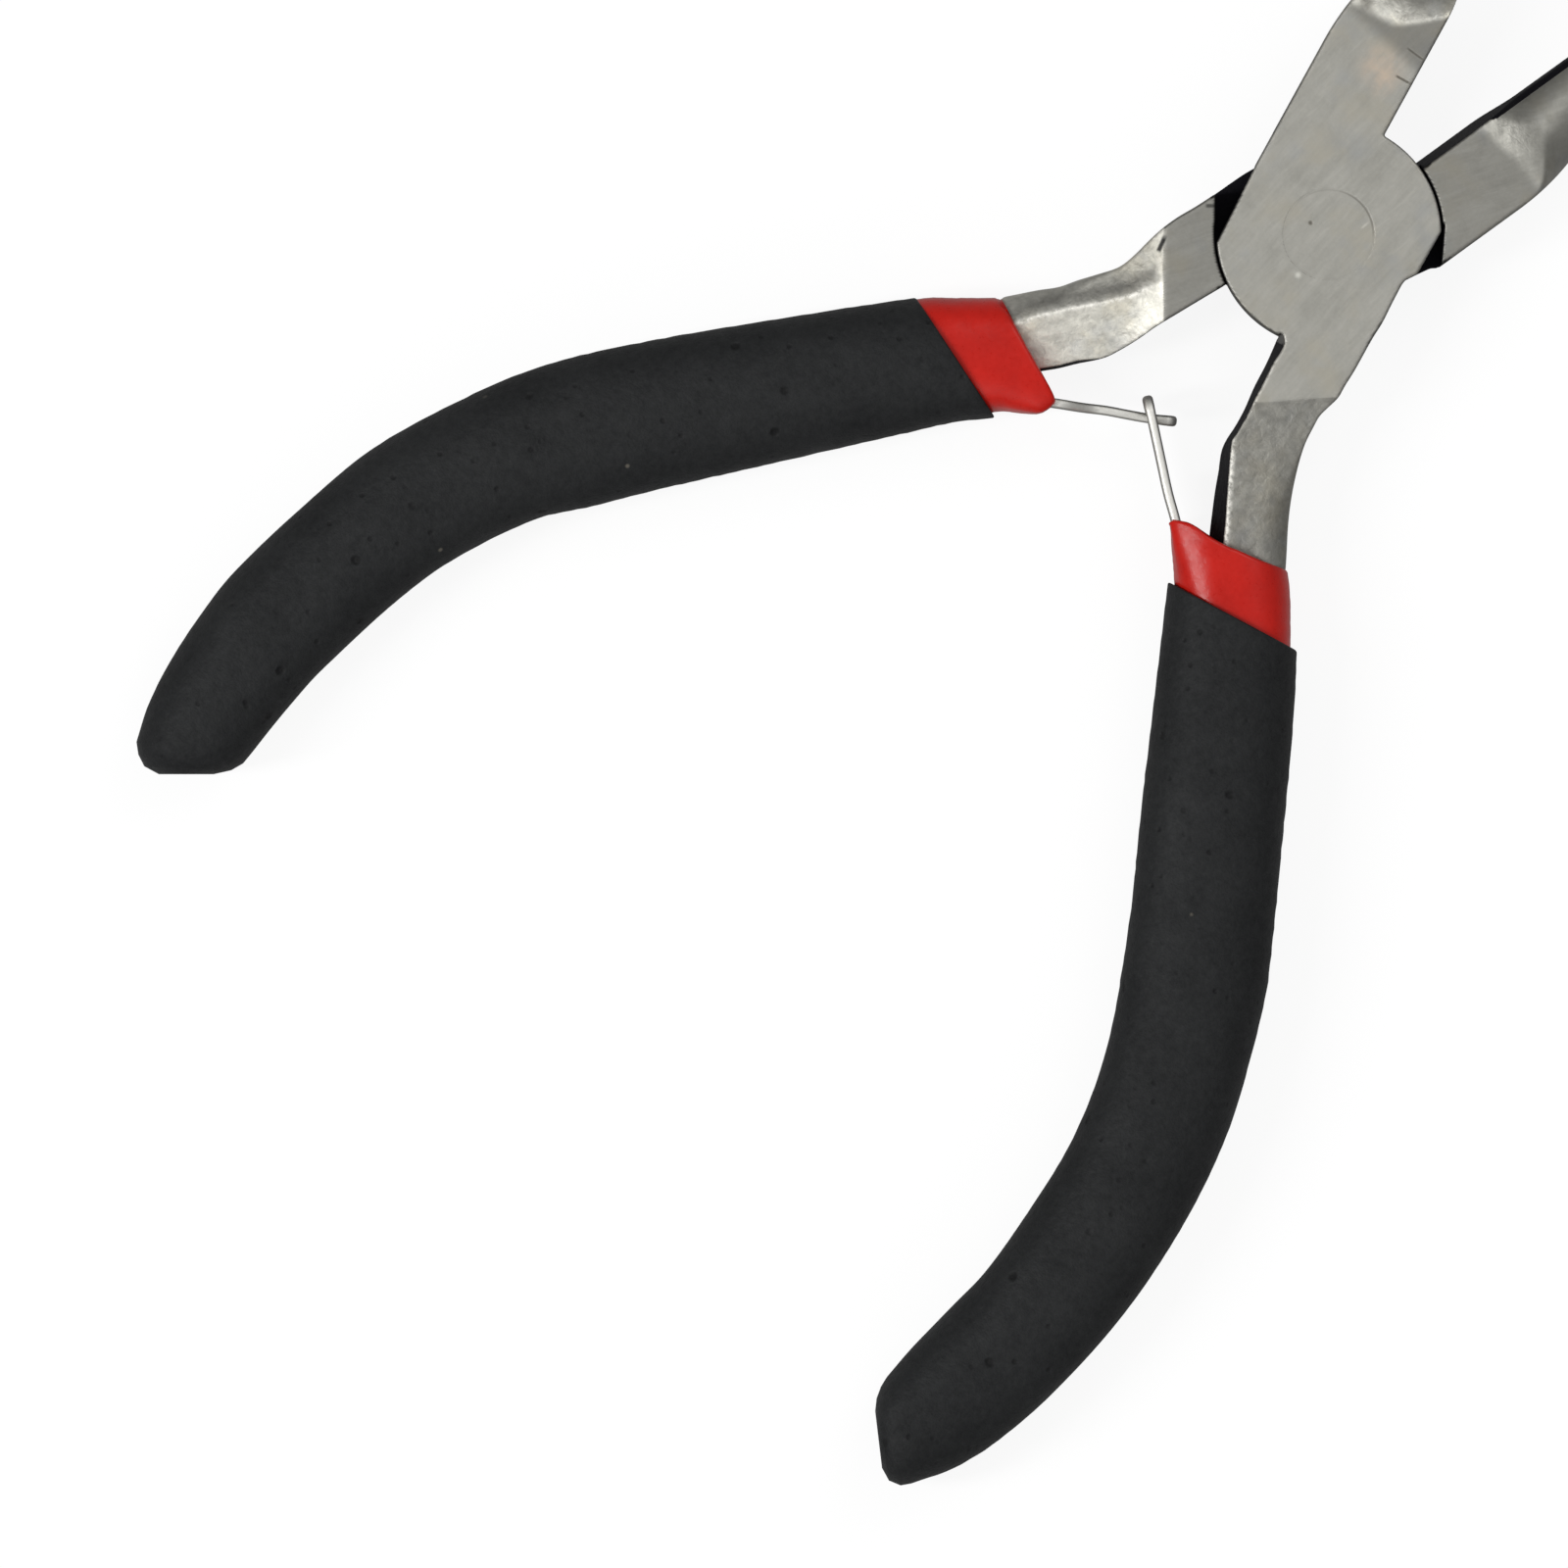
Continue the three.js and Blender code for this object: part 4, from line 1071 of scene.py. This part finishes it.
def marks_a(s, colour, cone_highlight, height):
    """Lever A's brown stains, dark nicks, a darker patch on the jaw, painted shade on the jaw's
    flat, ring round the rivet and bright scratches.
    """
    stain = s.spot((-5.2, 11.3), full=0.1, fade=2.4)
    cloud = s.noise(s.coords(loc=(1, 5, 2)), scale=0.9, detail=4, rough=0.6)
    cloud = s.linear(cloud, (0.36, 0.66), to=(0.25, 1.0))
    colour = s.tint(colour, s.mul(stain, cloud), amount=0.72, to=(0.66, 0.53, 0.41))
    stain = s.spot((-4.3, 10.3), full=0.1, fade=1.3)
    colour = s.tint(colour, s.mul(stain, cloud), amount=0.5, to=(0.68, 0.55, 0.43))
    dark = s.max(s.stroke((-4.0, 11.42), (-2.75, 11.72), half=0.15),
                 s.stroke((-4.69, 13.4), (-3.2, 13.55), half=0.13))
    dark = s.max(dark, s.spot((-1.48, -0.27), full=0.05, fade=0.24))
    # a darker patch at the top of the jaw, beside the cone's highlight
    dark = s.max(dark, s.mul(s.spot((-9.0, 13.8), full=0.2, fade=1.0), 0.8))
    colour = s.tint(colour, dark, amount=0.75, to=(0.10, 0.09, 0.07))
    y = s.axes()[1]
    # painted shade: a darker band across jaw A's flat from y 12 mm, off the cone's painted
    # highlight
    jaw_flat_shade = s.mul(s.ramp(y, (12.1 * MM, 13.3 * MM)), s.math("SUBTRACT", 1.0, cone_highlight, clamp=True))
    jaw_flat_shade = s.mul(jaw_flat_shade, s.ramp(y, (15.5 * MM, 22.0 * MM), to=(1, 0)))
    colour = s.tint(colour, jaw_flat_shade, amount=0.50, to=(0.14, 0.135, 0.12))
    ring = s.weighted(
        (s.ring(half=0.09, turn=(-200, 220)), 0.06),
        (s.ring(half=0.09, turn=(60, 172)), 0.12),
        (s.ring(half=0.11, turn=(45, 112)), 0.34),
    )
    colour = s.mix(ring, colour, (0.13, 0.12, 0.10))
    bright = s.max(s.mul(s.spot((0.32, -3.58), full=0.02, fade=0.34), 0.75),
                   s.mul(s.stroke((1.42, 1.85), (1.50, 2.60), half=0.12), 0.35))
    colour = s.tint(colour, bright, amount=0.65, to=(0.95, 0.94, 0.86))
    return colour, s.sub(height, s.mul(dark, 1.5))


def marks_b(s, colour, cone_highlight, height):
    """Lever B's two black marks: a painted shadow at the top of the crease where the ground flat
    meets the sloped neck, and a short black stroke where the black flank shows at the top face's
    edge.
    """
    # painted shadow at the top of the crease
    shadow_and_flank_mark = s.stroke((-8.05, -8.98), (-8.46, -7.75), half=0.24)
    colour = s.tint(colour, shadow_and_flank_mark, amount=0.95, to=(0.02, 0.02, 0.02))
    # black stroke where the flank shows at the edge of the top face
    shadow_and_flank_mark = s.stroke((-7.75, -4.35), (-7.05, -3.70), half=0.2)
    colour = s.tint(colour, shadow_and_flank_mark, amount=0.7, to=(0.02, 0.02, 0.02))
    return colour, height


def steel(name, grind_deg, brightness, painted_facet_light, add_marks):
    """Ground steel with grinding lines at grind_deg, and black forged skin where the oxide mask is
    1; on the outer flanks and the lapped flats that black is partly painted shade. The facet gains
    paint light and shade on the faces of facet 1 and 2."""
    s = Material(name)
    c = s.coords()

    def bright(*rgb):
        return tuple(v * brightness for v in rgb)

    # tone: grinding lines of three widths, blotches and specks, each varying about 0.5
    lines = s.noise(s.stretched(grind_deg, along=0.35, across=6.0), rough=0.6)
    wide = s.noise(s.stretched(grind_deg + 4, along=0.22, across=1.05), rough=0.6)
    streak = s.noise(s.stretched(grind_deg - 5, along=0.16, across=2.3), detail=2, rough=0.5)
    blotch = s.noise(c, scale=0.42, detail=4, rough=0.6, distortion=0.5)
    speck = s.noise(c, scale=4.5, rough=0.65)
    tone = 0.5
    parts = ((lines, 0.16), (wide, 0.50), (streak, 0.30), (blotch, 0.62), (speck, 0.30))
    for value, amount in parts:
        tone = s.add(tone, s.mul(s.sub(value, 0.5), amount))
    smear = s.noise(s.stretched(grind_deg - 8, along=0.30, across=1.9), rough=0.6, distortion=0.2)
    tone = s.add(tone, s.mul(s.ramp(smear, (0.56, 0.72)), 0.14))
    tone = s.math("ADD", tone, 0.0, clamp=True)
    colour = s.mix(tone, bright(0.43, 0.422, 0.378), bright(0.83, 0.815, 0.745))
    warm = s.ramp(s.noise(s.coords(loc=(3, 7, 1)), scale=0.28), (0.48, 0.72))
    colour = s.tint(colour, warm, amount=0.55, to=bright(0.66, 0.62, 0.51))
    cool = s.ramp(s.noise(s.coords(loc=(9, 2, 5)), scale=0.33), (0.52, 0.74))
    colour = s.tint(colour, cool, amount=0.45, to=bright(0.54, 0.555, 0.56))
    # painted light and shade: the neck's sloped faces made brighter or darker by how they face the
    # light, a painted highlight at the cone's start and painted shade on the rims
    facet = s.attr("facet")
    hammer = s.noise(c, scale=1.5, detail=4, rough=0.6, distortion=0.3)
    sloped = s.math("MINIMUM", facet, 1.0)
    second = s.math("SUBTRACT", facet, 1.0, clamp=True)
    gain = s.mix_number(sloped, 1.0, s.mix_number(second, *painted_facet_light))
    uneven = s.linear(hammer, (0.25, 0.75), to=(0.78, 1.22))
    gain = s.mul(gain, s.mix_number(sloped, 1.0, uneven))
    # the cone's painted highlight, streaked along the turning
    cone_highlight = s.attr("cone_highlight")
    turned = s.noise(s.stretched(grind_deg + 75, along=0.5, across=1.6), detail=4, rough=0.65)
    turned = s.linear(turned, (0.25, 0.75), to=(1.25, 2.2))
    gain = s.mul(gain, s.mix_number(cone_highlight, 1.0, turned))
    # painted shade on the rims and beside lever B's ridge
    gain = s.mul(gain, s.linear(s.attr("rim_and_crease_shade"), to=(1.0, 0.15)))
    scaled = s.node("ShaderNodeVectorMath", operation="SCALE")
    s.link(colour, scaled.inputs[0])
    s.put(scaled.inputs["Scale"], gain)
    # bright worn edges on lever A, painted highlights along lever B's ridge
    patchy = s.ramp(s.noise(c, scale=2.6, detail=4, rough=0.7), (0.32, 0.6))
    wear_and_highlight = s.mul(s.attr("wear_and_highlight"), patchy)
    colour = s.tint(scaled.outputs[0], wear_and_highlight, amount=0.9, to=(0.95, 0.93, 0.87))
    rough = s.mix_number(wear_and_highlight, s.linear(tone, to=(0.56, 0.42)), 0.55)
    rough = s.mix_number(sloped, rough, 0.60)
    height = s.weighted((lines, 0.35), (wide, 0.9), (streak, 0.5))
    colour, height = add_marks(s, colour, cone_highlight, height)
    # black forged skin, with a ragged edge; on the outer flanks and the lapped flats it is partly
    # painted shade
    ragged = s.noise(c, scale=2.2, detail=4, rough=0.7)
    oxide_and_shade = s.add(s.attr("oxide_and_shade"), s.mul(s.sub(ragged, 0.5), 0.30))
    oxide_and_shade = s.ramp(oxide_and_shade, (0.40, 0.62))
    skin_tone = s.noise(c, scale=1.6, detail=5, rough=0.65)
    black = s.mix(skin_tone, (0.0020, 0.0020, 0.0034), (0.0100, 0.0095, 0.0120))
    normal = s.bump(height, strength=0.30, distance=0.00004)
    dents = s.mul(s.max(sloped, cone_highlight), hammer)
    normal = s.bump(dents, strength=0.55, distance=0.00016, normal=normal)
    grain = s.mul(oxide_and_shade, s.noise(c, scale=3.0, detail=5, rough=0.7))
    return s.finish(
        colour=s.mix(oxide_and_shade, colour, black),
        metallic=s.mix_number(oxide_and_shade, 1.0, 0.0),
        rough=s.mix_number(oxide_and_shade, rough, s.linear(skin_tone, to=(0.45, 0.68))),
        specular=s.mix_number(oxide_and_shade, 0.5, 0.045),
        normal=s.bump(grain, strength=0.35, distance=0.00010, normal=normal),
    )


def spring_steel(name, brightness):
    s = Material(name)
    c = s.coords()
    bands = s.noise(s.coords(scale=(0.8, 0.8, 4.0)), detail=4, rough=0.6)
    tone = s.weighted((bands, 0.6), (s.noise(c, scale=4.0, rough=0.6), 0.4))
    dark, light = (tuple(v * brightness for v in rgb)
                   for rgb in ((0.66, 0.65, 0.61), (0.97, 0.96, 0.91)))
    colour = s.mix(tone, dark, light)
    # painted shade darkens the strip towards its broad faces
    return s.finish(
        colour=s.tint(colour, s.attr("edge"), amount=0.55, to=(0.09, 0.088, 0.08)),
        metallic=1.0,
        rough=s.linear(tone, to=(0.62, 0.50)),
        normal=s.bump(tone, strength=0.2, distance=0.00003),
    )


def rivet_steel():
    s = Material("rivet_steel_bright")
    c = s.coords()
    tone = s.weighted((s.noise(c, scale=1.3, detail=4, rough=0.6), 0.6),
                      (s.noise(c, scale=4.0, rough=0.6), 0.4))
    return s.finish(
        colour=s.mix(tone, (0.42, 0.41, 0.39), (0.85, 0.84, 0.80)),
        metallic=1.0,
        rough=s.linear(tone, to=(0.5, 0.34)),
        normal=s.bump(tone, strength=0.25, distance=0.00004),
    )


def black_pvc():
    s = Material("black_pvc_matt")
    c = s.coords()
    grain = s.noise(c, scale=1.9, detail=4, rough=0.62)
    fine = s.noise(c, scale=6.5, rough=0.6)
    cloud = s.noise(c, scale=0.20, detail=4, rough=0.6)
    pits = s.dots(c, scale=0.9, size=(0.06, 0.24), gate=(0.60, 0.70))
    dents = s.dots((4, 1, 2), scale=0.34, size=(0.04, 0.15), gate=(0.60, 0.64))
    dust = s.dots((1, 8, 3), scale=0.30, size=(0.025, 0.07), gate=(0.72, 0.75))
    tone = s.linear(s.weighted((grain, 0.42), (fine, 0.22), (cloud, 0.36)), (0.30, 0.70))
    colour = s.mix(tone, (0.0042, 0.0048, 0.0054), (0.0190, 0.0200, 0.0207))
    colour = s.tint(colour, pits, amount=0.7, to=(0.0025, 0.0025, 0.003))
    colour = s.tint(colour, dents, amount=0.8, to=(0.0020, 0.0020, 0.0022))
    height = s.weighted((grain, 0.6), (fine, 0.22), (cloud, 0.8))
    height = s.sub(s.sub(height, s.mul(pits, 0.5)), s.mul(dents, 1.1))
    return s.finish(
        colour=s.tint(colour, dust, amount=0.6, to=(0.15, 0.135, 0.11)),
        metallic=0.0,
        rough=s.linear(tone, to=(0.72, 0.56)),
        specular=0.24,
        normal=s.bump(height, strength=0.8, distance=0.00018),
    )


def red_pvc():
    s = Material("red_pvc_glossy")
    c = s.coords()
    cloud = s.noise(c, scale=0.35, detail=4)
    fine = s.noise(c, scale=3.0)
    tone = s.linear(s.weighted((cloud, 0.75), (fine, 0.25)), (0.3, 0.7))
    height = s.weighted((cloud, 1.0), (fine, 0.06))
    return s.finish(
        colour=s.mix(tone, (0.46, 0.0085, 0.0040), (0.60, 0.0135, 0.0070)),
        metallic=0.0,
        rough=s.linear(fine, (0.2, 0.8), to=(0.24, 0.38)),
        specular=0.26,
        normal=s.bump(height, strength=0.3, distance=0.00030),
    )


# ------------------------------------------------------------------ build
def fit(ob, material, body, part):
    """Give a piece its material, and let it ride on a body in place of a CAD part."""
    ob.data.materials.append(material)
    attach(ob, body)
    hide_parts(part)


def join_core(forging, core):
    bpy.ops.object.select_all(action="DESELECT")
    core.select_set(True)
    forging.select_set(True)
    bpy.context.view_layer.objects.active = forging
    bpy.ops.object.join()
    forging.data.materials.clear()


# lever B's steel is given a lower brightness than A's, which is painted shade: both levers are the
# same ground steel
steels = {
    "a": steel("ground_steel_a", grind_deg=92, brightness=0.665, painted_facet_light=(0.72, 0.72),
               add_marks=marks_a),
    "b": steel("ground_steel_b", grind_deg=64, brightness=0.48, painted_facet_light=(1.80, 2.45),
               add_marks=marks_b),
}
bright_steel = rivet_steel()
# leaf B's steel is given a lower brightness than leaf A's, which is painted shade: both leaves are
# the same spring steel
leaf_steels = {
    "a": spring_steel("spring_steel_a", brightness=1.0),
    "b": spring_steel("spring_steel_b", brightness=0.88),
}
black = black_pvc()
red = red_pvc()

for lever in ("a", "b"):
    body = f"lever_{lever}_side"
    forging = build_lever(lever)
    join_core(forging, build_core(lever))
    fit(forging, steels[lever], body, f"lever_{lever}")
    fit(build_grip(lever), black, body, f"outer_grip_{lever}")
    fit(build_sleeve(lever), red, body, f"inner_sleeve_{lever}")

    leaf = build_leaf(lever)
    leaf.data.materials.append(leaf_steels[lever])
    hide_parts(f"spring_leaf_{lever}_clamped_end", f"spring_leaf_{lever}_free_arm")
    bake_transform(leaf)

    leaf_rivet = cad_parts[f"leaf_rivet_{lever}"]
    leaf_rivet.data.materials.clear()
    leaf_rivet.data.materials.append(bright_steel)

fit(build_rivet(), steels["a"], "lever_a_side", "pivot_rivet")


# ------------------------------------------------------------------ floor
def build_floor(radius=12.0, segments=96, z=-0.00035):
    """A large disc just under the joint, in metres."""
    mesh = bpy.data.meshes.new("floor")
    turns = np.linspace(0, 2 * math.pi, segments, endpoint=False)
    verts = [(0, 0, z)] + [(radius * math.cos(a), radius * math.sin(a), z) for a in turns]
    faces = [(0, i + 1, (i + 1) % segments + 1) for i in range(segments)]
    mesh.from_pydata(verts, [], faces)
    floor = bpy.data.objects.new("floor", mesh)
    bpy.context.scene.collection.objects.link(floor)
    return floor


def pale_floor():
    """Shows pale to the camera, and throws only a little light back up at the metal."""
    material = bpy.data.materials.new("pale_floor")
    s = Nodes(material)
    output = s.node("ShaderNodeOutputMaterial")
    diffuse = s.node("ShaderNodeBsdfDiffuse")
    diffuse.inputs["Color"].default_value = (0.88, 0.88, 0.88, 1)
    emission = s.node("ShaderNodeEmission")
    emission.inputs["Color"].default_value = (1, 1, 1, 1)
    to_metal, to_camera = 0.30, 1.04  # emission strengths
    seen = s.node("ShaderNodeLightPath").outputs["Is Camera Ray"]
    s.link(s.mix_number(seen, to_metal, to_camera), emission.inputs["Strength"])
    mixed = s.node("ShaderNodeMixShader")
    mixed.inputs[0].default_value = 0.86  # share of emission
    s.link(diffuse.outputs[0], mixed.inputs[1])
    s.link(emission.outputs[0], mixed.inputs[2])
    s.link(mixed.outputs[0], output.inputs["Surface"])
    return material


floor = build_floor()
floor.data.materials.append(pale_floor())

# ------------------------------------------------------------------ light
# The view's right and up, in the row frame.
TURN = math.radians(42.3)
RIGHT = Vector((math.cos(TURN), math.sin(TURN), 0))
UP = Vector((-math.sin(TURN), math.cos(TURN), 0))
# Soft bright patches of the room: azimuth in degrees from the view's right, degrees off the
# zenith, sharpness, strength.
GLOWS = [
    (272, 50, 18, 1.2),  # towards the bottom of the view
    (52, 34, 16, 0.85),  # towards the jaws
    (196, 52, 22, 0.65),  # left
    (120, 45, 10, -0.12),  # a darker patch, upper left
]


def towards(azimuth, off_zenith, distance=1.0):
    a, z = math.radians(azimuth), math.radians(off_zenith)
    level = (RIGHT * math.cos(a) + UP * math.sin(a)) * math.sin(z) * distance
    return level + Vector((0, 0, math.cos(z) * distance))


def build_world():
    world = bpy.data.worlds.new("studio")
    bpy.context.scene.world = world
    s = Nodes(world)
    output = s.node("ShaderNodeOutputWorld")
    room = s.node("ShaderNodeBackground")
    room.inputs["Color"].default_value = (1.0, 1.0, 1.0, 1)
    # seen directly, past the floor's far edge, the room is plain and pale
    plain = s.node("ShaderNodeBackground")
    plain.inputs["Color"].default_value = (1, 1, 1, 1)
    plain.inputs["Strength"].default_value = 1.0
    either = s.node("ShaderNodeMixShader")
    s.link(s.node("ShaderNodeLightPath").outputs["Is Camera Ray"], either.inputs[0])
    s.link(room.outputs[0], either.inputs[1])
    s.link(plain.outputs[0], either.inputs[2])
    s.link(either.outputs[0], output.inputs["Surface"])

    def two_input(operation, a, b):
        return s.math(operation, a, b, c=0.5)  # these operations ignore c

    direction = s.node("ShaderNodeTexCoord").outputs["Generated"]
    split = s.node("ShaderNodeSeparateXYZ")
    s.link(direction, split.inputs[0])
    # the room brightens a little from the horizon up
    light = s.ramp(split.outputs[2], (0.05, 0.55), to=(0.26, 0.345))
    for azimuth, off_zenith, sharpness, strength in GLOWS:
        dot = s.node("ShaderNodeVectorMath", operation="DOT_PRODUCT")
        s.link(direction, dot.inputs[0])
        dot.inputs[1].default_value = towards(azimuth, off_zenith)
        facing = two_input("MAXIMUM", dot.outputs["Value"], 0.0)
        lobe = two_input("POWER", facing, sharpness)
        light = two_input("ADD", light, two_input("MULTIPLY", lobe, strength))
    s.link(light, room.inputs["Strength"])


def area(name, azimuth, off_zenith, distance, size, power):
    """A rectangular light aimed at the pivot; distance and size in metres, power in watts."""
    light = bpy.data.lights.new(name, "AREA")
    light.shape = "RECTANGLE"
    light.size, light.size_y = size
    light.energy = power
    ob = bpy.data.objects.new(name, light)
    ob.location = towards(azimuth, off_zenith, distance)
    ob.rotation_euler = (-ob.location).to_track_quat("-Z", "Y").to_euler()
    bpy.context.scene.collection.objects.link(ob)


build_world()
area("softbox_left", azimuth=190, off_zenith=39, distance=0.9, size=(0.13, 0.45), power=3.6)
area("softbox_upper_right", azimuth=50, off_zenith=34, distance=1.1, size=(0.5, 0.5), power=1.4)

# ------------------------------------------------------------------ camera
CAMERA_HEIGHT = 4.4  # metres
VIEW_HEIGHT = 0.0055  # z at which the view has the width below
VIEW_WIDTH = 110.34482759 * MM
VIEW_CENTRE = (-38.31034483 * MM, -38.65517241 * MM)  # along RIGHT and UP from the pivot
SENSOR = 36.0  # mm

camera_data = bpy.data.cameras.new("camera")
camera_data.sensor_width = SENSOR
camera_data.lens = SENSOR * (CAMERA_HEIGHT - VIEW_HEIGHT) / VIEW_WIDTH
camera_data.clip_start, camera_data.clip_end = 0.1, 50
camera = bpy.data.objects.new("camera", camera_data)
bpy.context.scene.collection.objects.link(camera)
centre = RIGHT * VIEW_CENTRE[0] + UP * VIEW_CENTRE[1]
# straight down, with the view's right and up as the camera's x and y
camera.matrix_world = Matrix((
    (RIGHT.x, UP.x, 0, centre.x),
    (RIGHT.y, UP.y, 0, centre.y),
    (0, 0, 1, CAMERA_HEIGHT),
    (0, 0, 0, 1),
))
bpy.context.scene.camera = camera
bpy.context.scene.view_settings.view_transform = "Standard"
